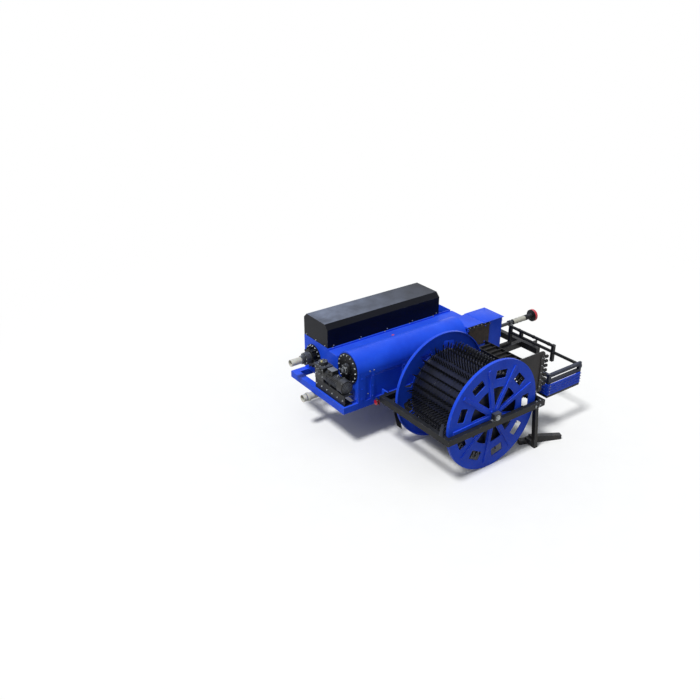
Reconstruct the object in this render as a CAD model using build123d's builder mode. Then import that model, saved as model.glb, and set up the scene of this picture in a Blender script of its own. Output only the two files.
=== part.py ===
"""Pumpkin seed harvester, a towed machine with a spiked pick-up drum on its right side.

+X is the way of travel, +Y is left, +Z is up, and the floor is z = 0. Sizes are millimetres.
"""

import math
import os
from collections import namedtuple

from build123d import *

# Overall box, centred on the origin
length = 4260.0
width = 3000.0
x_rear = -length / 2
x_front = length / 2
y_left = width / 2
y_right = -width / 2

# Shared small sizes
running_gap = 0.3
overrun = 20.0
sheet = 6.0
bolt_r = 9.0
bolt_h = 10.0

# Base frame, square tube
frame_tube = 100.0
frame_top = 655.0
spout_reach = 160.0
frame_rear = x_rear + spout_reach
frame_length = 3034.0
frame_front = frame_rear + frame_length
frame_width = 1370.0
frame_left = y_left
frame_right = frame_left - frame_width
frame_bottom = frame_top - frame_tube

# Axle and wheels
wheel_back = 147.0
wheel_x = (frame_rear + frame_front) / 2 - wheel_back
wheel_r = 254.0
tyre_w = 203.0
tyre_shoulder = 26.0
rim_r = 127.0
rim_w = 150.0
rim_wall = 8.0
hub_r = 55.0
hub_w = 90.0
axle_r = 25.0
axle_tube = 70.0
wheel_cover = 180.0
track = frame_width - 2 * wheel_cover
wheels_mid_y = (frame_left + frame_right) / 2
hanger_w = 80.0
hanger_inset = 230.0

# Near casing over the seed drum: round top, recessed sides between posts
casing_z = 1100.0
casing_r = 246.0
casing_panel_in = 22.0
casing_y = frame_right + casing_r
casing_inset = 250.0
casing_rear = frame_rear + casing_inset
casing_length = 2020.0
casing_front = casing_rear + casing_length
ledge_h = 34.0
ledge_top = casing_z - ledge_h / 2
end_wall = 12.0
corner_post_w = 120.0
mid_post_w = 55.0
mid_post_pitch = 560.0
mid_post_back = 220.0

# Bolted round end plate and its bearing
plate_r = 225.0
plate_w = 14.0
plate_bolts = 16
plate_bolt_r = 200.0
bearing_r = 78.0
bearing_w = 46.0
bearing_shaft_r = 30.0
bearing_shaft_l = 95.0

# Far body below the black cover, with an open tub ahead of the cover
far_body_w = 600.0
far_body_top = 1200.0
cover_over = 6.0
far_body_left = y_left - cover_over
far_body_right = far_body_left - far_body_w
far_body_rear = casing_rear
tub_length = 260.0
tub_depth = 220.0
far_flange_in = 250.0
far_flange_y = far_body_left - far_flange_in
far_flange_z = 935.0
far_flange_r = 185.0
far_flange_bolts = 16
drum_head_r = 150.0
drum_head_w = 70.0
head_ribs = 12
head_rib_w = 14.0
head_rib_h = 22.0
pump_r = 92.0
pump_l = 90.0
pump_neck_r = 66.0
pump_neck_l = 50.0
spout_r = 52.0
spout_wall = 4.0

# Deck between casing and far body
deck_top = 1176.0
deck_wall = 8.0
deck_rail_w = 30.0
deck_rail_h = 18.0
transfer_length = 540.0
transfer_slope = 150.0

# Black cover
cover_w = 612.0
cover_h = 352.0
cover_base = far_body_top
cover_top = cover_base + cover_h
cover_left = y_left
cover_right = cover_left - cover_w
cover_rear = casing_rear + cover_over
cover_length = 2112.0
cover_front = cover_rear + cover_length
cover_chamfer = 70.0
cover_wall = 10.0
far_body_front = cover_front + tub_length

# Front box and inlet housing
box_inset = 30.0
box_front = frame_front - box_inset
box_length = 421.0
box_rear = box_front - box_length
box_right = frame_right
box_w = 392.0
box_left = box_right + box_w
box_top = 1265.0
box_wall = 8.0
box_lip = 18.0
inlet_edge = 20.0
inlet_reach = 150.0
inlet_rear = casing_front + inlet_edge
inlet_front = box_rear + inlet_reach
inlet_base = 900.0
inlet_top = 1240.0
flap_w = 6.0
flap_side_gap = 6.0
flap_drop = 300.0
flap_pin_r = 10.0
flap_ear_w = 12.0

# Rear drive
channel_inset = 34.0
channel_rear = frame_rear + channel_inset
channel_w = 140.0
channel_h = 160.0
channel_side_gap = 30.0
channel_right = frame_right + channel_side_gap
channel_length = 720.0
channel_wall = 10.0
gearbox_w = 210.0
gearbox_d = 150.0
gearbox_h = 210.0
gearbox_flange_h = 20.0
gearbox_flange_out = 14.0
gearbox_neck_r = 64.0
gearbox_neck_h = 50.0
adaptor_w = 70.0
adaptor_r = 84.0
motor_r = 76.0
motor_l = 290.0
motor_fins = 24
motor_fin_h = 14.0
motor_fin_w = 6.0
motor_fan_r = 100.0
motor_fan_l = 110.0
terminal_w = 120.0
terminal_d = 100.0
terminal_h = 66.0

# Seed outlet below the rear beam
outlet_inset = 560.0
outlet_y = frame_left - outlet_inset
outlet_r = 55.0
outlet_wall = 4.0
outlet_drop = 66.0
outlet_z = frame_bottom - outlet_drop
outlet_length = 420.0
outlet_grip = 80.0
coupling_r = 66.0
coupling_w = 30.0

# Pick-up frame, flat tube round the drum
shaft_r = 30.0
pick_w = 60.0
pick_h = 90.0
post_w = 60.0
beam_in = 60.0
pick_right = y_right + beam_in
pick_hinge_in = 110.0
pick_hinge_y = frame_right - pick_hinge_in
hinge_tongue = 42.0
pick_left = pick_hinge_y - hinge_tongue
inner_gap = 120.0
inner_beam_left = pick_left - pick_w - inner_gap
disc_clear = 10.0

# Pick-up drum
drum_x = wheel_x
disc_r = 800.0
disc_w = 12.0
disc_rim_w = 44.0
disc_rim_t = 12.0
spoke_count = 9
spoke_w = 90.0
spoke_rib_w = 46.0
spoke_rib_h = 14.0
spoke_turn = 22.0
hub_share = 0.18
window_share = 0.52
outer_window_share = 0.745
outer_window_h = 128.0
outer_window_w = 200.0
window_corner = 20.0
rib_end_share = 0.9
outer_disc_y = pick_right + pick_w + disc_clear + spoke_rib_h + disc_w / 2
inner_disc_y = inner_beam_left - pick_w - disc_clear - spoke_rib_h - disc_w / 2
drum_r = 560.0
drum_wall = 10.0
spike_l = 120.0
spike_r = 7.0
spike_rows = 22
spikes_per_row = 15
hub_disc_r = 90.0
core_gap = 50.0

# Scraper under the inner beam
scraper_back = 70.0
scraper_w = 90.0
scraper_l = 440.0

# Place of the pick-up frame and its hinge
bearing_clear = 6.0
pick_top = disc_r - shaft_r - bearing_clear
pick_bottom = pick_top - pick_h
pick_rear = drum_x - disc_r - disc_clear - pick_w
pick_lead = 120.0
pick_front = drum_x + disc_r + pick_lead
pick_hinge_z = (pick_top + pick_bottom) / 2
pick_hinge_r = 18.0
hinge_ear_w = 20.0
hinge_ear_r = 32.0
hinge_inset = 180.0

# Cross belt and its walls, in front of the drum
belt_clear = 40.0
belt_rear = drum_x + disc_r + belt_clear
belt_w = 230.0
belt_front = belt_rear + belt_w
belt_top = 1050.0
belt_roller_r = 60.0
belt_t = 8.0
belt_end_in = 330.0
belt_right = y_right + belt_end_in
belt_left = pick_left - pick_w
cleat_h = 40.0
cleat_t = 14.0
cleat_count = 9
side_plate_w = 10.0
side_plate_top = 1420.0
side_plate_in = 250.0
side_plate_y = y_right + side_plate_in
side_plate_reach = 380.0
side_plate_rear = drum_x + side_plate_reach
side_plate_lead = 110.0
side_plate_front = pick_front + side_plate_lead
side_plate_corner = 70.0
finger_l = 60.0
finger_t = 34.0
finger_count = 7
spike_clear = 10.0

# Guide at the front, outside corner
guide_in = 300.0
guide_y = y_right + guide_in
guide_lead = 180.0
guide_rear = belt_front + guide_lead
guide_length = 700.0
guide_front = guide_rear + guide_length
guide_tube = 46.0
guide_low = 560.0
guide_mid = 830.0
guide_high = 930.0
guide_return = 250.0
slat_count = 4
slat_h = 36.0
slat_t = 16.0

# Leaning post and turned ground bar at the outer front corner
post_back = 150.0
post_x = pick_front - post_back
post_lean = 6.5
clamp_w = 80.0
clamp_base = 22.0
clamp_h = 78.0
ground_bar_turn = 22.0
ground_bar_in = 245.0
ground_bar_l = ground_bar_in / math.sin(math.radians(ground_bar_turn))
ground_bar_back = 60.0
ground_bar_h = 122.0
ground_bar_tail_h = 72.0
ground_bar_nose_h = 70.0
ground_bar_t = 70.0
tail_share = 0.25
nose_share = 0.93

# Front guard tubes and headstock
guard_r = 24.0
guard_lead = 330.0
guard_x = box_front + guard_lead
guard_high = 965.0
guard_low = 865.0
guard_reach = 830.0
guard_right = y_right + guard_reach
pto_out = 270.0
pto_y = box_right + pto_out
pto_z = 920.0
guard_short = 150.0
guard_left = pto_y - guard_short
guard_mid_in = 250.0
guard_mid_y = guard_left - guard_mid_in
guard_drop = 150.0
headstock_lead = 560.0
headstock_x = box_front + headstock_lead
headstock_w = 80.0
headstock_span = 1100.0
link_span = 825.0
link_pin_r = 14.2
link_pin_l = 90.0
link_shank_r = 10.0
link_ear_t = 24.0
link_ear_h = 150.0

# Drive shaft to the front
pto_yoke_r = 42.0
pto_yoke_l = 90.0
pto_tube_r = 28.0
pto_sleeve_r = 42.0
pto_sleeve_l = 270.0
pto_cone_r = 34.0
pto_ring_r = 100.0
pto_ring_w = 46.0
pto_ring_wall = 6.0
pto_ring_back = 80.0
pto_bore_r = 17.5
pto_bore_l = 80.0

# Parking jack
jack_side = 300.0
jack_y = pto_y + jack_side
jack_tube_w = 70.0
jack_leg_w = 54.0
jack_top = 900.0
jack_low = 320.0
jack_stroke = 300.0
foot_r = 110.0
foot_h = 14.0

# Lamp
lamp_r = 38.0
lamp_w = 34.0
lamp_lead = 60.0

os.makedirs("parts", exist_ok=True)


def block(x_span, y_span, z_span, mode=Mode.ADD):
    """Add a block that fills three spans to the part in work."""
    middle = tuple((low + high) / 2 for low, high in (x_span, y_span, z_span))
    size = tuple(abs(high - low) for low, high in (x_span, y_span, z_span))
    with Locations(middle):
        Box(*size, mode=mode)


def round_x(x_span, y, z, radius, mode=Mode.ADD):
    """Add a round bar along X."""
    with Locations(Location(((x_span[0] + x_span[1]) / 2, y, z), (0, 90, 0))):
        Cylinder(radius, abs(x_span[1] - x_span[0]), mode=mode)


def round_y(x, y_span, z, radius, mode=Mode.ADD):
    """Add a round bar along Y."""
    with Locations(Location((x, (y_span[0] + y_span[1]) / 2, z), (90, 0, 0))):
        Cylinder(radius, abs(y_span[1] - y_span[0]), mode=mode)


def round_z(x, y, z_span, radius, mode=Mode.ADD):
    """Add an upright round bar."""
    with Locations((x, y, (z_span[0] + z_span[1]) / 2)):
        Cylinder(radius, abs(z_span[1] - z_span[0]), mode=mode)


def bolt_ring(x_face, y, z, radius, count):
    """Add a ring of bolt heads that stand rearward of an upright face."""
    with BuildSketch(Plane.YZ.offset(x_face - bolt_h)) as heads:
        with Locations((y, z)):
            with PolarLocations(radius, count):
                Circle(bolt_r)
    extrude(heads.sketch, amount=bolt_h)


def finish(piece, name):
    """Label a piece and write its file."""
    piece.label = name
    export_step(piece, f"parts/{name}.step")


# Base frame: four beams and two cross beams under the bodies
frame_z = (frame_bottom, frame_top)
hinge_places = (pick_rear + hinge_inset, pick_front - hinge_inset)
with BuildPart() as base_frame:
    block((frame_rear, frame_front), (frame_right, frame_right + frame_tube), frame_z)
    block((frame_rear, frame_front), (frame_left - frame_tube, frame_left), frame_z)
    block((frame_rear, frame_rear + frame_tube), (frame_right, frame_left), frame_z)
    block((frame_front - frame_tube, frame_front), (frame_right, frame_left), frame_z)
    for cross_x in (wheel_x - frame_tube / 2, casing_front):
        block((cross_x, cross_x + frame_tube), (frame_right, frame_left), frame_z)
    block((casing_rear, frame_front), (frame_right, frame_left), (frame_top - sheet, frame_top))
    for x in hinge_places:
        block((x - hinge_ear_w, x), (pick_hinge_y, frame_right),
              (pick_hinge_z - hinge_ear_r, pick_hinge_z + hinge_ear_r))
        block((x - hinge_ear_w, x), (pick_hinge_y + 2 * hinge_ear_r, frame_right),
              (frame_bottom, pick_hinge_z))
        round_x((x - hinge_ear_w, x), pick_hinge_y, pick_hinge_z, hinge_ear_r)
        round_x((x - hinge_ear_w - overrun, x + overrun), pick_hinge_y, pick_hinge_z,
                pick_hinge_r + running_gap / 4, mode=Mode.SUBTRACT)
finish(base_frame.part, "base_frame")

# Axle beam hung below the frame
with BuildPart() as axle_beam:
    half_track = track / 2
    hub_edge = half_track - tyre_w / 2 - overrun
    block(
        (wheel_x - axle_tube / 2, wheel_x + axle_tube / 2),
        (wheels_mid_y - hub_edge, wheels_mid_y + hub_edge),
        (wheel_r - axle_tube / 2, wheel_r + axle_tube / 2),
    )
    round_y(wheel_x, (wheels_mid_y - half_track - hub_w / 2, wheels_mid_y + half_track + hub_w / 2),
            wheel_r, axle_r)
    for side in (-1, 1):
        hanger_y = wheels_mid_y + side * (hub_edge - hanger_inset)
        block(
            (wheel_x - hanger_w / 2, wheel_x + hanger_w / 2),
            (hanger_y - hanger_w / 2, hanger_y + hanger_w / 2),
            (wheel_r, frame_bottom),
        )
finish(axle_beam.part, "axle_beam")

# Wheels: each a tyre, and a rim with its hub
for side_name, side in (("left", 1), ("right", -1)):
    wheel_y = wheels_mid_y + side * track / 2
    wheel_plane = Plane(origin=(wheel_x, wheel_y, wheel_r), x_dir=(0, 1, 0), z_dir=(1, 0, 0))
    with BuildPart() as tyre:
        with BuildSketch(wheel_plane):
            with Locations((0, (wheel_r + rim_r) / 2)):
                RectangleRounded(tyre_w, wheel_r - rim_r, tyre_shoulder)
        revolve(axis=Axis((wheel_x, wheel_y, wheel_r), (0, 1, 0)))
    finish(tyre.part, f"tyre_{side_name}")
    with BuildPart() as rim:
        round_y(wheel_x, (wheel_y - rim_w / 2, wheel_y + rim_w / 2), wheel_r, rim_r - running_gap)
        round_y(wheel_x, (wheel_y - rim_w / 2 - overrun, wheel_y + rim_w / 2 + overrun), wheel_r,
                rim_r - rim_wall, mode=Mode.SUBTRACT)
        round_y(wheel_x, (wheel_y - rim_wall / 2, wheel_y + rim_wall / 2), wheel_r, rim_r - rim_wall / 2)
        round_y(wheel_x, (wheel_y - hub_w / 2, wheel_y + hub_w / 2), wheel_r, hub_r)
        round_y(wheel_x, (wheel_y - hub_w, wheel_y + hub_w), wheel_r, axle_r + running_gap / 4,
                mode=Mode.SUBTRACT)
    finish(rim.part, f"rim_{side_name}")

# Near casing: a hollow round top on straight sides, a ledge at mid-height and posts below it
panel_half = casing_r - casing_panel_in
Post = namedtuple("Post", "rear width")
side_posts = (
    Post(casing_rear, corner_post_w),
    Post(casing_rear + mid_post_back, mid_post_w),
    Post(casing_rear + mid_post_back + mid_post_pitch, mid_post_w),
    Post(casing_rear + mid_post_back + 2 * mid_post_pitch, mid_post_w),
    Post(casing_front - corner_post_w, corner_post_w),
)
casing_profile_plane = Plane.YZ.offset(casing_rear)
with BuildPart() as near_casing:
    with BuildSketch(casing_profile_plane):
        with Locations((casing_y, casing_z)):
            Circle(casing_r)
        with Locations((casing_y, (frame_top + casing_z) / 2)):
            Rectangle(2 * panel_half, casing_z - frame_top)
        with Locations((casing_y, ledge_top - ledge_h / 2)):
            Rectangle(2 * casing_r, ledge_h)
    extrude(amount=casing_length)
    for post in side_posts:
        block((post.rear, post.rear + post.width), (casing_y - casing_r, casing_y - panel_half + sheet),
              (frame_top, ledge_top))
    with BuildSketch(casing_profile_plane.offset(end_wall)):
        with Locations((casing_y, casing_z)):
            Circle(casing_r - end_wall)
        with Locations((casing_y, (frame_top + end_wall + casing_z) / 2)):
            Rectangle(2 * (panel_half - end_wall), casing_z - frame_top - end_wall)
    extrude(amount=casing_length - 2 * end_wall, mode=Mode.SUBTRACT)
finish(near_casing.part, "near_casing")

# Bolted round plate with its bearing and shaft end
with BuildPart() as near_plate:
    round_x((casing_rear - plate_w, casing_rear), casing_y, casing_z, plate_r)
    bolt_ring(casing_rear - plate_w, casing_y, casing_z, plate_bolt_r, plate_bolts)
finish(near_plate.part, "near_end_plate")

with BuildPart() as near_bearing:
    bearing_face = casing_rear - plate_w
    round_x((bearing_face - bearing_w, bearing_face), casing_y, casing_z, bearing_r)
    round_x((bearing_face - bearing_shaft_l, bearing_face), casing_y, casing_z, bearing_shaft_r)
finish(near_bearing.part, "near_bearing")

# Far body: closed and hollow below the cover, an open tub ahead of it
with BuildPart() as far_body:
    body_y = (far_body_right, far_body_left)
    inner_y = (far_body_right + end_wall, far_body_left - end_wall)
    block((far_body_rear, far_body_front), body_y, (frame_top, far_body_top))
    block((far_body_rear + end_wall, cover_front - end_wall), inner_y,
          (frame_top + end_wall, far_body_top - end_wall), mode=Mode.SUBTRACT)
    block((cover_front + end_wall, far_body_front - end_wall), inner_y,
          (far_body_top - tub_depth, far_body_top + overrun), mode=Mode.SUBTRACT)
finish(far_body.part, "far_body")

# Bolted drum head on the far body's rear wall, with radial ribs
flange_face = far_body_rear - plate_w
with BuildPart() as far_flange:
    round_x((flange_face, far_body_rear), far_flange_y, far_flange_z, far_flange_r)
    bolt_ring(flange_face, far_flange_y, far_flange_z, far_flange_r - 2 * bolt_r, far_flange_bolts)
    round_x((flange_face - drum_head_w, flange_face), far_flange_y, far_flange_z, drum_head_r - head_rib_h)
    with BuildSketch(Plane.YZ.offset(flange_face - drum_head_w)) as ribs:
        with Locations((far_flange_y, far_flange_z)):
            with PolarLocations(drum_head_r - head_rib_h, head_ribs):
                Rectangle(2 * head_rib_h, head_rib_w)
    extrude(ribs.sketch, amount=drum_head_w)
finish(far_flange.part, "far_flange")

head_face = flange_face - drum_head_w
pump_face = head_face - pump_l
neck_face = pump_face - pump_neck_l
with BuildPart() as seed_pump:
    round_x((pump_face, head_face), far_flange_y, far_flange_z, pump_r)
    round_x((neck_face, pump_face), far_flange_y, far_flange_z, pump_neck_r)
finish(seed_pump.part, "seed_pump")

with BuildPart() as pump_spout:
    round_x((x_rear, neck_face), far_flange_y, far_flange_z, spout_r)
    round_x((x_rear - overrun, neck_face - overrun), far_flange_y, far_flange_z, spout_r - spout_wall,
            mode=Mode.SUBTRACT)
finish(pump_spout.part, "pump_spout")

# Deck with raised edge rails, and the closed transfer box at its front end
deck_right = casing_y + casing_r + running_gap
deck_left = far_body_right - running_gap
deck_span = (deck_right, deck_left)
transfer_front = casing_front + transfer_length
with BuildPart() as deck:
    block((casing_rear, casing_front), deck_span, (deck_top - deck_wall, deck_top))
    for rail in ((deck_left - deck_rail_w, deck_left), (deck_right, deck_right + deck_rail_w)):
        block((casing_rear, casing_front), rail, (deck_top, deck_top + deck_rail_h))
    block((casing_rear, casing_rear + deck_wall), deck_span, (frame_top, deck_top))
    with BuildSketch(Plane.XZ.offset(-deck_left)) as transfer:
        with BuildLine():
            Polyline(
                (casing_front - deck_wall, frame_top),
                (casing_front - deck_wall, deck_top),
                (transfer_front - transfer_slope, deck_top),
                (transfer_front, deck_top - transfer_slope),
                (transfer_front, frame_top),
                close=True,
            )
        make_face()
    extrude(transfer.sketch, amount=deck_left - deck_right)
    block((casing_front, transfer_front - transfer_slope),
          (deck_right + deck_wall, deck_left - deck_wall),
          (frame_top + deck_wall, deck_top - deck_wall), mode=Mode.SUBTRACT)
finish(deck.part, "deck")

# Black cover, hollow
with BuildPart() as cover:
    cover_plane = Plane.YZ.offset(cover_rear)
    with BuildSketch(cover_plane):
        with BuildLine():
            Polyline(
                (cover_right, cover_base),
                (cover_right, cover_top - cover_chamfer),
                (cover_right + cover_chamfer, cover_top),
                (cover_left - cover_chamfer, cover_top),
                (cover_left, cover_top - cover_chamfer),
                (cover_left, cover_base),
                close=True,
            )
        make_face()
    extrude(amount=cover_length)
    block(
        (cover_rear + cover_wall, cover_front - cover_wall),
        (cover_right + cover_wall, cover_left - cover_wall),
        (cover_base - overrun, cover_top - cover_chamfer),
        mode=Mode.SUBTRACT,
    )
finish(cover.part, "cover")

# Front box, open on its right side behind the flap, with an overhanging lid
inlet_z = (inlet_base, inlet_top)
flap_ear_y = (box_right - 2 * flap_pin_r - running_gap, box_right)
flap_y = box_right - flap_pin_r - running_gap
flap_pin_z = inlet_top - flap_pin_r - sheet
flap_ear_z = (flap_pin_z - 2 * flap_pin_r, flap_pin_z + 2 * flap_pin_r)
with BuildPart() as front_box:
    block((box_rear, box_front), (box_right, box_left), (frame_top, box_top))
    block((box_rear, box_front + box_lip), (box_right - box_lip, box_left + box_lip),
          (box_top - box_wall, box_top))
    block(
        (box_rear + box_wall, box_front - box_wall),
        (box_right + box_wall, box_left - box_wall),
        (frame_top + box_wall, box_top - box_wall),
        mode=Mode.SUBTRACT,
    )
    block((box_rear - overrun, inlet_front), (box_right - overrun, box_right + 2 * box_wall), inlet_z,
          mode=Mode.SUBTRACT)
    block((box_rear - overrun, box_rear + 2 * box_wall),
          (box_right - overrun, box_left - 2 * box_wall), inlet_z,
          mode=Mode.SUBTRACT)
    block((inlet_front, inlet_front + flap_ear_w), flap_ear_y, flap_ear_z)
    round_x((inlet_front - overrun, inlet_front + 2 * flap_ear_w), flap_y, flap_pin_z,
            flap_pin_r + running_gap / 4, mode=Mode.SUBTRACT)
finish(front_box.part, "front_box")

with BuildPart() as inlet_housing:
    block((casing_front, box_rear), (box_right, box_left), (frame_top, box_top))
    block(
        (casing_front - overrun, box_rear + overrun),
        (box_right + box_wall, box_left - box_wall),
        (inlet_base - box_wall, inlet_top),
        mode=Mode.SUBTRACT,
    )
    block((inlet_rear, box_rear + overrun), (box_right - overrun, box_right + 2 * box_wall), inlet_z,
          mode=Mode.SUBTRACT)
    block((inlet_rear - flap_ear_w, inlet_rear), flap_ear_y, flap_ear_z)
    round_x((inlet_rear - 2 * flap_ear_w, inlet_rear + overrun), flap_y, flap_pin_z,
            flap_pin_r + running_gap / 4, mode=Mode.SUBTRACT)
finish(inlet_housing.part, "inlet_housing")

# Rubber inlet flap on its pin
with BuildPart() as inlet_flap:
    flap_x = (inlet_rear + flap_side_gap, inlet_front - flap_side_gap)
    block(flap_x, (flap_y - flap_w / 2, flap_y + flap_w / 2), (flap_pin_z - flap_drop, flap_pin_z))
    round_x((inlet_rear - flap_ear_w, inlet_front + flap_ear_w), flap_y, flap_pin_z, flap_pin_r)
finish(inlet_flap.part, "inlet_flap")

# Rear drive: channel, gearbox, and a finned motor on an adaptor
channel_base = frame_top
channel_top = channel_base + channel_h
channel_y = (channel_right, channel_right + channel_length)
with BuildPart() as motor_channel:
    block((channel_rear, channel_rear + channel_w), channel_y, (channel_base, channel_top))
    block(
        (channel_rear + channel_wall, channel_rear + channel_w + overrun),
        (channel_y[0] - overrun, channel_y[1] + overrun),
        (channel_base + channel_wall, channel_top - channel_wall),
        mode=Mode.SUBTRACT,
    )
finish(motor_channel.part, "motor_channel")

gearbox_y = channel_y[1] - gearbox_w
gearbox_mid_x = channel_rear + channel_w / 2
gearbox_top = channel_top + gearbox_h
with BuildPart() as gearbox:
    block(
        (gearbox_mid_x - gearbox_d / 2, gearbox_mid_x + gearbox_d / 2),
        (gearbox_y, gearbox_y + gearbox_w),
        (channel_top, gearbox_top),
    )
    block(
        (gearbox_mid_x - gearbox_d / 2 - gearbox_flange_out,
         gearbox_mid_x + gearbox_d / 2 + gearbox_flange_out),
        (gearbox_y - gearbox_flange_out, gearbox_y + gearbox_w + gearbox_flange_out),
        (gearbox_top, gearbox_top + gearbox_flange_h),
    )
    neck_base = gearbox_top + gearbox_flange_h
    round_z(gearbox_mid_x, gearbox_y + gearbox_w / 2, (neck_base, neck_base + gearbox_neck_h),
            gearbox_neck_r)
finish(gearbox.part, "gearbox")

motor_z = channel_top + motor_fan_r
motor_start = gearbox_y - adaptor_w
motor_end = motor_start - motor_l
with BuildPart() as motor:
    round_y(gearbox_mid_x, (motor_start, gearbox_y), motor_z, adaptor_r)
    round_y(gearbox_mid_x, (motor_end, motor_start), motor_z, motor_r)
    with BuildSketch(Plane.XZ.offset(-motor_start)) as fins:
        with Locations((gearbox_mid_x, motor_z)):
            with PolarLocations(motor_r, motor_fins):
                Rectangle(2 * motor_fin_h, motor_fin_w)
    extrude(fins.sketch, amount=motor_l)
    round_y(gearbox_mid_x, (motor_end - motor_fan_l, motor_end), motor_z, motor_fan_r)
    block(
        (gearbox_mid_x - terminal_d / 2, gearbox_mid_x + terminal_d / 2),
        (motor_start - terminal_w, motor_start),
        (motor_z, motor_z + motor_r + terminal_h),
    )
finish(motor.part, "motor")

# Seed outlet
with BuildPart() as seed_outlet:
    round_x((x_rear, x_rear + outlet_length), outlet_y, outlet_z, outlet_r)
    round_x((x_rear + outlet_grip, x_rear + outlet_grip + coupling_w), outlet_y, outlet_z, coupling_r)
    round_x((x_rear - overrun, x_rear + outlet_length - coupling_w), outlet_y, outlet_z,
            outlet_r - outlet_wall, mode=Mode.SUBTRACT)
    block(
        (frame_rear + coupling_w, frame_rear + 2 * coupling_w),
        (outlet_y - coupling_w, outlet_y + coupling_w),
        (outlet_z + outlet_r - outlet_wall, frame_bottom),
    )
finish(seed_outlet.part, "seed_outlet")

# Pick-up frame: rear, outer and front beams, the inner beam by the drum, and the hinged one
pick_z = (pick_bottom, pick_top)
inner_beam_right = inner_beam_left - pick_w
with BuildPart() as pickup_frame:
    block((pick_rear, pick_front), (pick_right, pick_right + pick_w), pick_z)
    block((pick_rear, pick_rear + pick_w), (pick_right, pick_left), pick_z)
    block((pick_front - pick_w, pick_front), (pick_right, pick_left), pick_z)
    block((pick_rear, pick_front), (inner_beam_right, inner_beam_left), pick_z)
    block((pick_rear, pick_front), (pick_left - pick_w, pick_left), pick_z)
    for x in hinge_places:
        for ear_rear in (x - 2 * hinge_ear_w - running_gap, x + running_gap):
            ear_span = (ear_rear, ear_rear + hinge_ear_w)
            block(ear_span, (pick_left, pick_hinge_y),
                  (pick_hinge_z - hinge_ear_r, pick_hinge_z + hinge_ear_r))
            round_x(ear_span, pick_hinge_y, pick_hinge_z, hinge_ear_r)
        round_x((x - 5 * hinge_ear_w / 2, x + 3 * hinge_ear_w / 2), pick_hinge_y, pick_hinge_z,
                pick_hinge_r)
finish(pickup_frame.part, "pickup_frame")

# Drum: core, spikes, discs and shaft
core_y = (outer_disc_y + disc_w / 2 + core_gap, inner_disc_y - disc_w / 2 - core_gap)
with BuildPart() as drum_core:
    round_y(drum_x, core_y, disc_r, drum_r)
    round_y(drum_x, (core_y[0] + drum_wall, core_y[1] - drum_wall), disc_r, drum_r - drum_wall,
            mode=Mode.SUBTRACT)
    round_y(drum_x, (core_y[0] - overrun, core_y[1] + overrun), disc_r, shaft_r + running_gap / 4,
            mode=Mode.SUBTRACT)
finish(drum_core.part, "drum_core")

spike_step = (core_y[1] - core_y[0]) / spikes_per_row
spike_reach = drum_r + running_gap + spike_l / 2
stagger_shares = (0.75, 0.25)
spike_places = []
for row in range(spike_rows):
    turn = 360.0 * row / spike_rows
    for i in range(spikes_per_row):
        at = (
            drum_x + spike_reach * math.cos(math.radians(turn)),
            core_y[0] + (i + stagger_shares[row % 2]) * spike_step,
            disc_r + spike_reach * math.sin(math.radians(turn)),
        )
        spike_places.append(Location(at, (0, 90 - turn, 0)))
with BuildPart() as drum_spikes:
    with Locations(*spike_places):
        Cylinder(spike_r, spike_l)
finish(drum_spikes.part, "drum_spikes")


def drum_disc(name, disc_y, outward):
    """A spoked disc with ribs on its outward face, two rows of windows, a rim and a hub."""
    plane = Plane(origin=(drum_x, disc_y, disc_r), x_dir=(1, 0, 0), z_dir=(0, outward, 0))
    window_end = window_share * disc_r
    rib_end = rib_end_share * disc_r
    window_turn = spoke_turn + 180.0 / spoke_count
    with BuildPart() as disc:
        with BuildSketch(plane.offset(-disc_w / 2)) as web:
            Circle(disc_r)
            Circle(window_end, mode=Mode.SUBTRACT)
            Circle(hub_share * disc_r)
            with PolarLocations(window_end / 2, spoke_count, start_angle=spoke_turn):
                Rectangle(window_end + sheet, spoke_w)
            with PolarLocations(outer_window_share * disc_r, spoke_count, start_angle=window_turn):
                RectangleRounded(outer_window_h, outer_window_w, window_corner, mode=Mode.SUBTRACT)
            Circle(shaft_r + running_gap / 4, mode=Mode.SUBTRACT)
        extrude(web.sketch, amount=disc_w)
        with BuildSketch(plane.offset(disc_w / 2)) as ribs:
            with PolarLocations(rib_end / 2, spoke_count, start_angle=spoke_turn):
                Rectangle(rib_end, spoke_rib_w)
            Circle(hub_disc_r)
            Circle(shaft_r + running_gap / 4, mode=Mode.SUBTRACT)
        extrude(ribs.sketch, amount=spoke_rib_h)
        with BuildSketch(plane.offset(disc_w / 2 - disc_rim_w)) as rim_ring:
            Circle(disc_r)
            Circle(disc_r - disc_rim_t, mode=Mode.SUBTRACT)
        extrude(rim_ring.sketch, amount=disc_rim_w)
    finish(disc.part, name)


drum_disc("outer_disc", outer_disc_y, -1)
drum_disc("inner_disc", inner_disc_y, 1)

with BuildPart() as drum_shaft:
    round_y(drum_x, (pick_right, inner_beam_left), disc_r, shaft_r)
finish(drum_shaft.part, "drum_shaft")

# Bearings of the drum shaft on the pick-up frame
with BuildPart() as drum_bearings:
    for y in (pick_right + pick_w / 2, inner_beam_left - pick_w / 2):
        block(
            (drum_x - 2 * shaft_r, drum_x + 2 * shaft_r),
            (y - pick_w / 2, y + pick_w / 2),
            (pick_top, disc_r + 2 * shaft_r),
        )
        round_y(drum_x, (y - pick_w, y + pick_w), disc_r, shaft_r + running_gap / 4, mode=Mode.SUBTRACT)
finish(drum_bearings.part, "drum_bearings")

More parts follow.
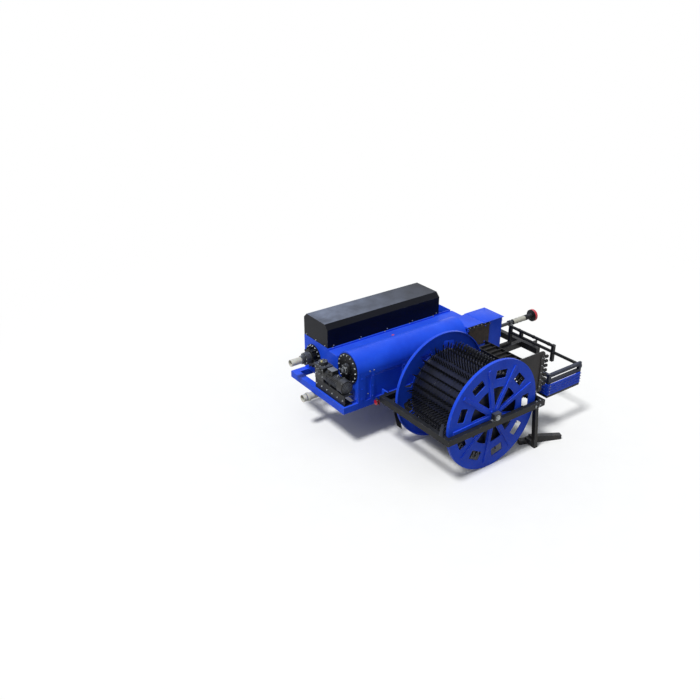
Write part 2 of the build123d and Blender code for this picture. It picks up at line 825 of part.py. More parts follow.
# Cross belt in front of the drum: loop with cleats, two rollers and two side boards
belt_low = belt_top - 2 * (belt_roller_r + belt_t)
belt_axis_z = belt_top - belt_t - belt_roller_r
belt_axes = (belt_right + belt_roller_r + belt_t, belt_left - belt_roller_r - belt_t)
cleat_pitch = (belt_axes[1] - belt_axes[0]) / cleat_count
with BuildPart() as cross_belt:
    with BuildSketch(Plane.XZ.rotated((0, 0, 90)).offset(belt_rear)) as loop:
        with Locations(((belt_axes[0] + belt_axes[1]) / 2, belt_axis_z)):
            SlotCenterToCenter(belt_axes[1] - belt_axes[0], 2 * (belt_roller_r + belt_t))
            SlotCenterToCenter(belt_axes[1] - belt_axes[0], 2 * belt_roller_r, mode=Mode.SUBTRACT)
    extrude(loop.sketch, amount=belt_w)
    for i in range(cleat_count):
        cleat_y = belt_axes[0] + cleat_pitch * i + cleat_pitch / 2
        block((belt_rear, belt_front), (cleat_y - cleat_t / 2, cleat_y + cleat_t / 2),
              (belt_top - belt_t / 2, belt_top + cleat_h))
finish(cross_belt.part, "cross_belt")

with BuildPart() as belt_rollers:
    for y in belt_axes:
        round_x((belt_rear, belt_front), y, belt_axis_z, belt_roller_r - running_gap)
        round_x((belt_rear - belt_t, belt_front + belt_t), y, belt_axis_z, belt_roller_r / 3)
finish(belt_rollers.part, "belt_rollers")

belt_leg_half = pick_w / 3
with BuildPart() as belt_frame:
    for x in (belt_rear - 2 * belt_t, belt_front + belt_t):
        block((x, x + belt_t), (belt_right - belt_t, belt_left + belt_t), (belt_low, belt_top + cleat_h))
    for y in (belt_axes[0] + 2 * belt_roller_r, belt_axes[1] - 2 * belt_roller_r):
        leg_y = (y - belt_leg_half, y + belt_leg_half)
        block((belt_rear - belt_t, belt_front + belt_t), leg_y,
              (belt_axis_z - belt_leg_half, belt_axis_z + belt_leg_half))
        block((pick_front - pick_w, pick_front), leg_y, (pick_top, belt_low - belt_t))
        block((belt_rear - 2 * belt_t, belt_front + 2 * belt_t), leg_y,
              (belt_low - belt_leg_half - belt_t, belt_low - belt_t))
        for x in (belt_rear - 2 * belt_t, belt_front + belt_t):
            block((x, x + belt_t), leg_y, (belt_low - belt_leg_half - belt_t, belt_low))
finish(belt_frame.part, "belt_frame")

# Side plate at the belt's outer end, with a row of rubber fingers on its front edge
with BuildPart() as side_plate:
    plate_y = (side_plate_y - side_plate_w, side_plate_y)
    block((side_plate_rear, side_plate_front), plate_y, (pick_top + 2 * side_plate_w, side_plate_top))
    corner = side_plate.edges().filter_by(Axis.Y).sort_by(lambda edge: edge.center().X + edge.center().Z)[-1]
    fillet(corner, side_plate_corner)
    round_y(drum_x, (plate_y[0] - overrun, plate_y[1] + overrun), disc_r, drum_r + spike_l + spike_clear,
            mode=Mode.SUBTRACT)
    block((pick_front - pick_w, pick_front), (side_plate_y - pick_w / 2, side_plate_y),
          (pick_top, pick_top + 2 * side_plate_w))
finish(side_plate.part, "side_plate")

with BuildPart() as rubber_fingers:
    finger_low = pick_top + pick_h
    finger_pitch = (side_plate_top - side_plate_corner - finger_low) / finger_count
    for i in range(finger_count):
        finger_z = finger_low + finger_pitch * i + finger_pitch / 2
        block((side_plate_front + running_gap, side_plate_front + finger_l),
              (side_plate_y - 2 * side_plate_w, side_plate_y + side_plate_w),
              (finger_z - finger_t / 2, finger_z + finger_t / 2))
finish(rubber_fingers.part, "rubber_fingers")

# Slatted guide ahead of the drum, with a return towards the machine at its rear
guide_span = (guide_y, guide_y + guide_tube)
guide_return_y = guide_y + guide_return
with BuildPart() as guide_frame:
    for top in (guide_low + guide_tube, guide_mid, guide_high):
        block((guide_rear, guide_front), guide_span, (top - guide_tube, top))
        block((guide_rear, guide_rear + guide_tube), (guide_y, guide_return_y), (top - guide_tube, top))
    for x in (guide_rear, guide_front - guide_tube):
        block((x, x + guide_tube), guide_span, (guide_low, guide_high))
    block((guide_rear, guide_rear + guide_tube), (guide_return_y - guide_tube, guide_return_y),
          (guide_low, guide_high))
    block((guide_front, guard_x), guide_span, (guard_low - guard_r, guard_low + guard_r))
finish(guide_frame.part, "guide_frame")

with BuildPart() as guide_slats:
    slat_room = guide_mid - guide_low - 2 * guide_tube
    for i in range(slat_count):
        slat_z = guide_low + guide_tube + slat_room * (2 * i + 1) / (2 * slat_count)
        slat_span_z = (slat_z - slat_h / 2, slat_z + slat_h / 2)
        block((guide_rear - slat_t, guide_front - slat_t),
              (guide_y - slat_t, guide_y - running_gap), slat_span_z)
        block((guide_rear - slat_t, guide_rear - running_gap), (guide_y - slat_t, guide_return_y),
              slat_span_z)
finish(guide_slats.part, "guide_slats")

# Leaning post under the outer beam
post_run = pick_bottom * math.tan(math.radians(post_lean))
foot_x = post_x + post_run
with BuildPart() as guide_post:
    with BuildSketch(Plane.XZ.offset(-pick_right - post_w)) as post_side:
        with BuildLine():
            Polyline(
                (foot_x - post_w / 2, 0),
                (foot_x + post_w / 2, 0),
                (post_x + post_w / 2, pick_bottom),
                (post_x - post_w / 2, pick_bottom),
                close=True,
            )
        make_face()
    extrude(post_side.sketch, amount=post_w)
finish(guide_post.part, "guide_post")

# Ground bar, turned outward, with a clamp that reaches the post
bar_rear = (foot_x - ground_bar_back - clamp_w, y_right + ground_bar_in)
bar_plane = Plane(
    origin=(bar_rear[0], bar_rear[1], 0),
    x_dir=(math.cos(math.radians(ground_bar_turn)), -math.sin(math.radians(ground_bar_turn)), 0),
    z_dir=(math.sin(math.radians(ground_bar_turn)), math.cos(math.radians(ground_bar_turn)), 0),
)
with BuildPart() as ground_bar:
    with BuildSketch(bar_plane) as bar_side:
        with BuildLine():
            Polyline(
                (0, 0),
                (ground_bar_l, 0),
                (ground_bar_l, -ground_bar_nose_h),
                (nose_share * ground_bar_l, -ground_bar_nose_h - sheet),
                (tail_share * ground_bar_l, -ground_bar_h),
                (tail_share * ground_bar_l, -ground_bar_tail_h),
                (0, -ground_bar_tail_h),
                close=True,
            )
        make_face()
    extrude(bar_side.sketch, amount=ground_bar_t)
    block((foot_x - clamp_w / 2, foot_x + clamp_w / 2),
          (pick_right + post_w, y_right + ground_bar_in),
          (clamp_base, clamp_base + clamp_h))
finish(ground_bar.part, "ground_bar")

# Scraper blade under the inner beam, leaning forward
scraper_mid_y = inner_beam_left - pick_w / 2
with BuildPart() as scraper:
    with BuildSketch(Plane.XZ.offset(-scraper_mid_y - sheet)) as blade:
        with BuildLine():
            Polyline(
                (pick_rear + scraper_back, pick_bottom),
                (pick_rear + scraper_back + scraper_w, pick_bottom),
                (pick_rear + scraper_back + 2 * scraper_w, pick_bottom - scraper_l),
                (pick_rear + scraper_back + scraper_w, pick_bottom - scraper_l + scraper_w),
                close=True,
            )
        make_face()
    extrude(blade.sketch, amount=2 * sheet)
finish(scraper.part, "scraper")

# Front guard of two round tubes on three posts, and the headstock with its pins
with BuildPart() as front_guard:
    round_y(guard_x, (guard_right, guard_left), guard_high, guard_r)
    round_y(guard_x, (guide_y + guide_tube + running_gap, guard_left), guard_low, guard_r)
    block((guard_x - guard_r, guard_x + guard_r), (guard_right, guard_right + 2 * guard_r),
          (guard_low - guard_drop, guard_high + guard_r))
    block((guard_x - guard_r, guard_x + guard_r), (guard_mid_y - guard_r, guard_mid_y + guard_r),
          (guard_low, guard_high))
    block((guard_x - guard_r, guard_x + guard_r), (guard_left - 2 * guard_r, guard_left),
          (frame_top, guard_high + guard_r))
    block((frame_front, guard_x - guard_r), (guard_left - 2 * guard_r, guard_left),
          (frame_top, frame_top + 2 * guard_r))
finish(front_guard.part, "front_guard")

head_y = (pto_y - headstock_span / 2, pto_y + headstock_span / 2)
link_x = headstock_x + 3 * headstock_w / 2
link_z = frame_bottom + link_ear_h / 2
with BuildPart() as headstock:
    block((headstock_x, headstock_x + headstock_w), head_y, frame_z)
    for y in (frame_right + headstock_w, head_y[1] - headstock_w):
        block((frame_front, headstock_x + headstock_w), (y - headstock_w / 2, y + headstock_w / 2), frame_z)
    for side in (-1, 1):
        ear_face = pto_y + side * link_span / 2
        block((headstock_x + headstock_w, headstock_x + 2 * headstock_w),
              (ear_face - side * link_ear_t, ear_face), (frame_bottom, frame_bottom + link_ear_h))
    round_y(link_x, (head_y[0] - overrun, head_y[1] + overrun), link_z, link_shank_r + running_gap / 4,
            mode=Mode.SUBTRACT)
finish(headstock.part, "headstock")

with BuildPart() as link_pins:
    for side in (-1, 1):
        ear_face = pto_y + side * link_span / 2
        round_y(link_x, (ear_face - side * link_ear_t, ear_face), link_z, link_shank_r)
        round_y(link_x, (ear_face, ear_face + side * link_pin_l), link_z, link_pin_r)
finish(link_pins.part, "link_pins")

# Drive shaft from the front box forward: tube, yokes, pale sleeve, dark cone and red ring
pto_rear = box_front + running_gap
sleeve_rear = x_front - 2 * pto_sleeve_l - pto_ring_wall
ring_rear = x_front - pto_ring_back - pto_ring_w / 2
with BuildPart() as pto_shaft:
    round_x((pto_rear, x_front), pto_y, pto_z, pto_tube_r)
    for yoke_rear in (pto_rear + pto_yoke_l, sleeve_rear - pto_yoke_l):
        round_x((yoke_rear, yoke_rear + pto_yoke_l / 2), pto_y, pto_z, pto_yoke_r)
    round_x((sleeve_rear, sleeve_rear + pto_sleeve_l), pto_y, pto_z, pto_sleeve_r)
    round_x((sleeve_rear + pto_sleeve_l, ring_rear), pto_y, pto_z, pto_cone_r)
    round_x((ring_rear, ring_rear + pto_ring_w), pto_y, pto_z, pto_ring_r)
    round_x((ring_rear + pto_ring_wall, ring_rear + pto_ring_w + overrun), pto_y, pto_z,
            pto_ring_r - pto_ring_wall, mode=Mode.SUBTRACT)
    round_x((ring_rear, x_front), pto_y, pto_z, pto_cone_r)
    round_x((x_front - pto_bore_l, x_front + overrun), pto_y, pto_z, pto_bore_r, mode=Mode.SUBTRACT)
finish(pto_shaft.part, "pto_shaft")

# Parking jack: a square tube on the headstock, and a leg with a foot
with BuildPart() as jack_tube:
    leg_x = headstock_x - jack_tube_w / 2
    leg_hole = jack_leg_w / 2 + running_gap
    block((headstock_x - jack_tube_w, headstock_x), (jack_y - jack_tube_w / 2, jack_y + jack_tube_w / 2),
          (jack_low, jack_top))
    block((leg_x - leg_hole, leg_x + leg_hole), (jack_y - leg_hole, jack_y + leg_hole),
          (jack_low - overrun, jack_top - overrun), mode=Mode.SUBTRACT)
finish(jack_tube.part, "jack_tube")

with BuildPart() as jack_leg:
    block((leg_x - jack_leg_w / 2, leg_x + jack_leg_w / 2),
          (jack_y - jack_leg_w / 2, jack_y + jack_leg_w / 2),
          (foot_h, jack_top - 2 * overrun - jack_stroke))
    round_z(leg_x, jack_y, (0, foot_h), foot_r)
finish(jack_leg.part, "jack_leg")

# Round lamp below the inner rear corner
with BuildPart() as tail_lamp:
    lamp_x = pick_rear + lamp_lead
    round_x((lamp_x - lamp_w, lamp_x), frame_right - lamp_r, frame_bottom + lamp_r, lamp_r)
    block((lamp_x, lamp_x + sheet), (frame_right - 2 * lamp_r, frame_right),
          (frame_bottom, frame_bottom + 2 * lamp_r))
finish(tail_lamp.part, "tail_lamp")

print("parts written")
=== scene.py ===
"""Towed pumpkin seed harvester, dressed on its fixed CAD frame.

+X is the way of travel, +Y is left and +Z is up. Lengths are metres.
"""

import math

import bmesh
import bpy
from mathutils import Matrix, Vector


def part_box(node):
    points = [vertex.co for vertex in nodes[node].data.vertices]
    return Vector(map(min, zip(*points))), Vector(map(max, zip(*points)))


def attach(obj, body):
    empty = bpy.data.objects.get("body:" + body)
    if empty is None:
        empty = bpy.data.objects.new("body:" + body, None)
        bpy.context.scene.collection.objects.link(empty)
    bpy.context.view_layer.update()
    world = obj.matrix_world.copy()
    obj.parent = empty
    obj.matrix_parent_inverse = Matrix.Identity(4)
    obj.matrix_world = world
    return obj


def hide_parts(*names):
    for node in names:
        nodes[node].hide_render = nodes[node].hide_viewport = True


bl_info = {
    "name": "Pumpkin seed harvester",
    "version": (1, 0, 0),
    "blender": (4, 5, 0),
    "location": "3D View > Sidebar > Harvester",
    "description": "Dresses the frame of a towed pumpkin seed harvester",
    "category": "Object",
}

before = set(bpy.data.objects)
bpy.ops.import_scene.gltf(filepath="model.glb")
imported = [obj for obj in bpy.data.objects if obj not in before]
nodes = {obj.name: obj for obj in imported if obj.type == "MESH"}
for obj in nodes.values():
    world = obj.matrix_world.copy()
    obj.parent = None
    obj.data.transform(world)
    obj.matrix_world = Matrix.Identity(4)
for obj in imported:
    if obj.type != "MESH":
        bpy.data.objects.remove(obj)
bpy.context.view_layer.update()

X, Y, Z = Vector((1, 0, 0)), Vector((0, 1, 0)), Vector((0, 0, 1))


def linear(hex_text):
    """The linear RGBA of an sRGB hex value."""
    values = [int(hex_text[i:i + 2], 16) / 255 for i in (1, 3, 5)]
    return tuple(v / 12.92 if v <= 0.04045 else ((v + 0.055) / 1.055) ** 2.4 for v in values) + (1.0,)


# Places read from the frame

def low(node):
    """Lowest corner of a CAD node."""
    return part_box(node)[0]


def high(node):
    """Highest corner of a CAD node."""
    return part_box(node)[1]


def spot(node, x, y, z):
    """A point at shares of a CAD node's box: 0 at its low sides, 1 at its high ones."""
    a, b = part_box(node)
    return Vector((a.x + x * (b.x - a.x), a.y + y * (b.y - a.y), a.z + z * (b.z - a.z)))


def middle(node):
    """Middle of a CAD node's box."""
    return spot(node, 0.5, 0.5, 0.5)


def at_x(point, x):
    """The point moved along X to x."""
    return Vector((x, point.y, point.z))


def at_y(point, y):
    """The point moved along Y to y."""
    return Vector((point.x, y, point.z))


# Work with Blender's own operators

def let_go():
    """Leaves edit mode and deselects everything."""
    if bpy.context.mode != "OBJECT":
        bpy.ops.object.mode_set(mode="OBJECT")
    bpy.ops.object.select_all(action="DESELECT")


def take(piece):
    """Makes a piece the only selected and active one."""
    let_go()
    piece.select_set(True)
    bpy.context.view_layer.objects.active = piece


def settle(piece):
    """Puts a piece's place, turn and scale into its mesh."""
    take(piece)
    bpy.ops.object.transform_apply(location=True, rotation=True, scale=True)
    return piece


def block(low_corner, high_corner):
    """A block between two corners."""
    let_go()
    a, b = Vector(low_corner), Vector(high_corner)
    bpy.ops.mesh.primitive_cube_add(size=1.0, location=(a + b) / 2)
    piece = bpy.context.object
    piece.scale = b - a
    return settle(piece)


def bar(start, end, radius, sides=24, ends="NGON"):
    """A round or many-sided bar between two points."""
    let_go()
    a, b = Vector(start), Vector(end)
    turn = (b - a).to_track_quat("Z", "Y").to_euler()
    bpy.ops.mesh.primitive_cylinder_add(vertices=sides, radius=radius, depth=(b - a).length,
                                        location=(a + b) / 2, rotation=turn, end_fill_type=ends)
    return settle(bpy.context.object)


def plate(low_corner, high_corner, edge=0.002):
    """A block with rounded edges."""
    return soften(block(low_corner, high_corner), edge)


def collar(start, end, radius, wall, sides=40):
    """A ring or a length of tube between two points."""
    ring = bar(start, end, radius, sides, "NOTHING")
    wall_maker = ring.modifiers.new("wall", "SOLIDIFY")
    wall_maker.thickness = wall
    wall_maker.offset = -1
    take(ring)
    bpy.ops.object.modifier_apply(modifier=wall_maker.name)
    return soften(ring, min(wall, (Vector(end) - Vector(start)).length) * 0.2, 1)


def rod(points, radius, sides=12):
    """A bent rod through points, with round elbows."""
    pieces = [bar(a, b, radius, sides) for a, b in zip(points, points[1:])]
    for point in points[1:-1]:
        let_go()
        bpy.ops.mesh.primitive_uv_sphere_add(segments=sides, ring_count=8, radius=radius, location=point)
        pieces.append(settle(bpy.context.object))
    return soften(join(pieces, "rod"), radius * 0.25, 1, 70)


def pick(piece, wanted):
    """Enters edit mode with only the faces selected whose middle and normal are wanted."""
    take(piece)
    bpy.ops.object.mode_set(mode="EDIT")
    bpy.ops.mesh.select_mode(type="FACE")
    bpy.ops.mesh.select_all(action="DESELECT")
    mesh = bmesh.from_edit_mesh(piece.data)
    for face in mesh.faces:
        face.select_set(bool(wanted(face.calc_center_median(), face.normal)))
    bmesh.update_edit_mesh(piece.data)


def soften(piece, width, segments=2, angle=40):
    """Rounds a piece's edges with a bevel that is applied."""
    take(piece)
    rounding = piece.modifiers.new("edge", "BEVEL")
    rounding.width = width
    rounding.segments = segments
    rounding.limit_method = "ANGLE"
    rounding.angle_limit = math.radians(angle)
    bpy.ops.object.modifier_apply(modifier=rounding.name)
    bpy.ops.object.shade_smooth_by_angle(angle=math.radians(40))
    return piece


def join(pieces, name):
    """Joins pieces into one that is named."""
    let_go()
    for piece in pieces:
        piece.select_set(True)
    bpy.context.view_layer.objects.active = pieces[0]
    if len(pieces) > 1:
        bpy.ops.object.join()
    whole = bpy.context.view_layer.objects.active
    whole.name = name
    whole.data.name = name
    return whole


def repeat(master, places, name):
    """Copies a piece that is modelled at the origin and points up +Z to each (point, direction)."""
    copies = []
    for point, direction in places:
        copy = master.copy()
        copy.data = master.data.copy()
        turn = Vector(direction).to_track_quat("Z", "Y").to_matrix().to_4x4()
        copy.data.transform(Matrix.Translation(Vector(point)) @ turn)
        bpy.context.collection.objects.link(copy)
        copies.append(copy)
    bpy.data.objects.remove(master)
    return join(copies, name)


def dress(piece, finish, body):
    """Gives a piece its finish and its body."""
    piece.data.materials.clear()
    piece.data.materials.append(finishes[finish])
    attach(piece, body)
    return piece


def finish_as(pieces, name, finish, body):
    """Joins pieces into one that is named, with its finish and body."""
    return dress(join(pieces, name), finish, body)


def ring_places(centre, axis, radius, count, turn=0.0):
    """Points round a circle, each with the circle's axis as its direction."""
    axis = Vector(axis)
    side = Z if abs(axis.z) < 0.5 else X
    other = axis.cross(side)
    angles = [turn + 2 * math.pi * i / count for i in range(count)]
    return [(Vector(centre) + radius * (math.cos(a) * side + math.sin(a) * other), axis) for a in angles]


def row_places(start, end, count, direction):
    """Evenly spaced points from start to end, each with the same direction."""
    return [(Vector(start).lerp(Vector(end), i / (count - 1)), Vector(direction)) for i in range(count)]


# Materials

def add_node(tree, kind, inputs=None, **settings):
    """Adds a node with its settings; each input gets a value or a link."""
    node = tree.nodes.new(kind)
    for name, value in settings.items():
        setattr(node, name, value)
    for name, value in (inputs or {}).items():
        if isinstance(value, bpy.types.NodeSocket):
            tree.links.new(value, node.inputs[name])
        else:
            node.inputs[name].default_value = value
    return node


def start_material(name):
    """An empty node material with a principled shader; gives its material, tree, shader and coordinates."""
    material = bpy.data.materials.new(name)
    material.use_nodes = True
    tree = material.node_tree
    tree.nodes.clear()
    shader = add_node(tree, "ShaderNodeBsdfPrincipled")
    add_node(tree, "ShaderNodeOutputMaterial", {"Surface": shader.outputs[0]})
    return material, tree, shader, add_node(tree, "ShaderNodeTexCoord")


def patches(tree, coords, size_mm, detail, start, end, bottom=0.0, top=1.0):
    """Noise patches about size_mm across, stretched from start..end to bottom..top and held there."""
    noise = add_node(tree, "ShaderNodeTexNoise", {"Vector": coords.outputs["Object"], "Scale": 1000 / size_mm,
                                                  "Detail": detail, "Roughness": NOISE_ROUGHNESS})
    return add_node(tree, "ShaderNodeMapRange", {0: noise.outputs[0], 1: start, 2: end, 3: bottom,
                                                 4: top}).outputs[0]


def skin(tree, shader, coords, tone, layers, rough, grain_mm, detail, strength, depth_mm):
    """Gives the shader its roughness, its colour with coats on it, and a grain about grain_mm wide.

    Each coat is the share that it covers and its colour."""
    for share, coat in layers:
        tone = add_node(tree, "ShaderNodeMix", {0: share, 6: tone, 7: coat}, data_type="RGBA").outputs[2]
    grain = add_node(tree, "ShaderNodeTexNoise", {"Vector": coords.outputs["Object"], "Scale": 1000 / grain_mm,
                                                  "Detail": detail, "Roughness": NOISE_ROUGHNESS})
    bump = add_node(tree, "ShaderNodeBump", {"Strength": strength, "Distance": depth_mm / 1000,
                                             "Height": grain.outputs[0]})
    for socket, value in (("Base Color", tone), ("Roughness", rough), ("Normal", bump.outputs[0])):
        tree.links.new(value, shader.inputs[socket])


def worn_edges(tree, coords, width_mm, amount):
    """1 along rubbed outer edges and 0 elsewhere."""
    rounded = add_node(tree, "ShaderNodeBevel", {"Radius": width_mm / 1000}, samples=4)
    flat = add_node(tree, "ShaderNodeNewGeometry")
    turned = add_node(tree, "ShaderNodeVectorMath", {0: rounded.outputs[0], 1: flat.outputs["True Normal"]},
                      operation="DOT_PRODUCT")
    edge = add_node(tree, "ShaderNodeMapRange", {0: turned.outputs["Value"], 1: 0.97, 2: 0.8})
    rubbed = patches(tree, coords, 60, 3.0, 0.56 - 0.12 * amount, 0.66 - 0.1 * amount)
    return add_node(tree, "ShaderNodeMath", {0: edge.outputs[0], 1: rubbed}, operation="MULTIPLY").outputs[0]


def settled_dust_and_highlight(tree, coords, amount, painted_rear_highlight=False):
    """Dust on faces that look up, thicker in patches; where asked, also a painted highlight that makes the top
    lighter towards the rear.
    """
    normal = add_node(tree, "ShaderNodeSeparateXYZ", {0: coords.outputs["Normal"]})
    upward = add_node(tree, "ShaderNodeMapRange", {0: normal.outputs["Z"], 1: 0.75, 2: 1.0})
    # painted highlight: the dust colour is laid thicker towards the rear (low X), standing for light on the top
    if painted_rear_highlight:
        place = add_node(tree, "ShaderNodeSeparateXYZ", {0: coords.outputs["Object"]})
        along = add_node(tree, "ShaderNodeMapRange",
                         {0: place.outputs["X"], 1: -1.7, 2: 0.4, 3: 1.0, 4: 0.12})
        upward = add_node(tree, "ShaderNodeMath", {0: upward.outputs[0], 1: along.outputs[0]},
                          operation="MULTIPLY")
    spread = patches(tree, coords, 300, 6.0, 0.3, 0.7, 0.35 * amount, amount)
    return add_node(tree, "ShaderNodeMath", {0: upward.outputs[0], 1: spread},
                    operation="MULTIPLY").outputs[0]


def splashed_soil(tree, coords, top, amount):
    """Dried soil that thins out from the floor to a height of top metres."""
    place = add_node(tree, "ShaderNodeSeparateXYZ", {0: coords.outputs["Object"]})
    lower = add_node(tree, "ShaderNodeMapRange", {0: place.outputs["Z"], 1: top, 2: 0.0, 4: amount})
    splashes = patches(tree, coords, 45, 6.0, 0.42, 0.62)
    return add_node(tree, "ShaderNodeMath", {0: lower.outputs[0], 1: splashes},
                    operation="MULTIPLY").outputs[0]


NOISE_ROUGHNESS = 0.6
SOIL = linear("#8a7a5e")
# colour of settled dust; on the cover's top it is also the colour of a painted highlight
DUST_AND_HIGHLIGHT = linear("#8a93a8")
STEEL = linear("#8b8d90")


def painted_steel(name, colour, shade, roughness, gloss, wear=0.5, dust=0.05, soil_top=0.7, soil=0.1,
                  painted_rear_highlight=False):
    """Paint sprayed on rolled steel: faint orange peel, greyer where dust lies and where a highlight is
    painted, bare along edges.
    """
    material, tree, shader, coords = start_material(name)
    dust_and_highlight = settled_dust_and_highlight(tree, coords, dust, painted_rear_highlight)
    soiled = splashed_soil(tree, coords, soil_top, soil)
    bare = worn_edges(tree, coords, 5, wear)
    # handling marks and dried drips, some 25 mm across
    marks = patches(tree, coords, 25, 6.0, 0.5, 0.8, 0.0, 0.3)
    layers = ((patches(tree, coords, 380, 4.0, 0.3, 0.7), colour), (marks, shade), (dust_and_highlight, DUST_AND_HIGHLIGHT),
              (soiled, SOIL), (bare, STEEL))
    metal = add_node(tree, "ShaderNodeMath", {0: bare, 1: 0.7}, operation="MULTIPLY")
    tree.links.new(metal.outputs[0], shader.inputs["Metallic"])
    dull = add_node(tree, "ShaderNodeMath", {0: dust_and_highlight, 1: soiled}, operation="MAXIMUM")
    clean = patches(tree, coords, 14, 3.0, 0.3, 0.7, roughness - 0.06, roughness + 0.08)
    rough = add_node(tree, "ShaderNodeMath", {0: dull.outputs[0], 1: 0.6, 2: clean}, operation="MULTIPLY_ADD")
    shader.inputs["Specular IOR Level"].default_value = gloss
    # orange peel is 2 mm wide; drawn 9 mm wide so that it shows
    skin(tree, shader, coords, shade, layers, rough.outputs[0], 9, 1.0, 0.12, 1.2)
    return material


def plated_steel(name, colour, roughness):
    """Zinc-plated steel: bright, with cloudy passivation and fine handling scratches."""
    material, tree, shader, coords = start_material(name)
    darker = tuple(v * 0.55 for v in colour[:3]) + (1.0,)
    layers = ((patches(tree, coords, 18, 4.0, 0.35, 0.7), colour),)
    shader.inputs["Metallic"].default_value = 0.85
    rough = patches(tree, coords, 6, 4.0, 0.3, 0.7, roughness - 0.1, roughness + 0.12)
    skin(tree, shader, coords, darker, layers, rough, 3, 3.0, 0.15, 0.6)
    return material


def rubber(name, colour, dusty_colour, dust=0.35, soil_top=0.6, soil=0.4):
    """Vulcanised rubber: matt black, greyed by bloom and dust."""
    material, tree, shader, coords = start_material(name)
    bloom = patches(tree, coords, 70, 5.0, 0.35, 0.75, 0.0, dust)
    layers = ((bloom, dusty_colour), (splashed_soil(tree, coords, soil_top, soil), SOIL))
    shader.inputs["Specular IOR Level"].default_value = 0.35
    rough = patches(tree, coords, 12, 3.0, 0.3, 0.7, 0.6, 0.85)
    # moulding texture is under 1 mm; drawn 5 mm wide so that it shows
    skin(tree, shader, coords, colour, layers, rough, 5, 3.0, 0.25, 1.0)
    return material


def cast_metal(name, colour, shade, roughness):
    """Sand-cast housing: pebbled skin of about 4 mm, dull, darker in patches."""
    material, tree, shader, coords = start_material(name)
    layers = ((patches(tree, coords, 40, 6.0, 0.35, 0.7), colour), (settled_dust_and_highlight(tree, coords, 0.3), DUST_AND_HIGHLIGHT),
              (worn_edges(tree, coords, 4, 0.5), STEEL))
    shader.inputs["Metallic"].default_value = 0.25
    rough = patches(tree, coords, 9, 3.0, 0.3, 0.7, roughness - 0.08, roughness + 0.1)
    skin(tree, shader, coords, shade, layers, rough, 4, 2.0, 0.5, 1.5)
    return material


def moulded_plastic(name, colour, shade, roughness, subsurface=0.0):
    """Injection-moulded plastic: even and satin, with scuffs and a little dust."""
    material, tree, shader, coords = start_material(name)
    layers = ((patches(tree, coords, 90, 4.0, 0.35, 0.75), shade), (settled_dust_and_highlight(tree, coords, 0.25), DUST_AND_HIGHLIGHT))
    shader.inputs["Subsurface Weight"].default_value = subsurface
    shader.inputs["Subsurface Radius"].default_value = (0.01, 0.004, 0.003)
    rough = patches(tree, coords, 16, 5.0, 0.3, 0.75, roughness - 0.08, roughness + 0.15)
    skin(tree, shader, coords, colour, layers, rough, 3, 2.0, 0.08, 0.8)
    return material


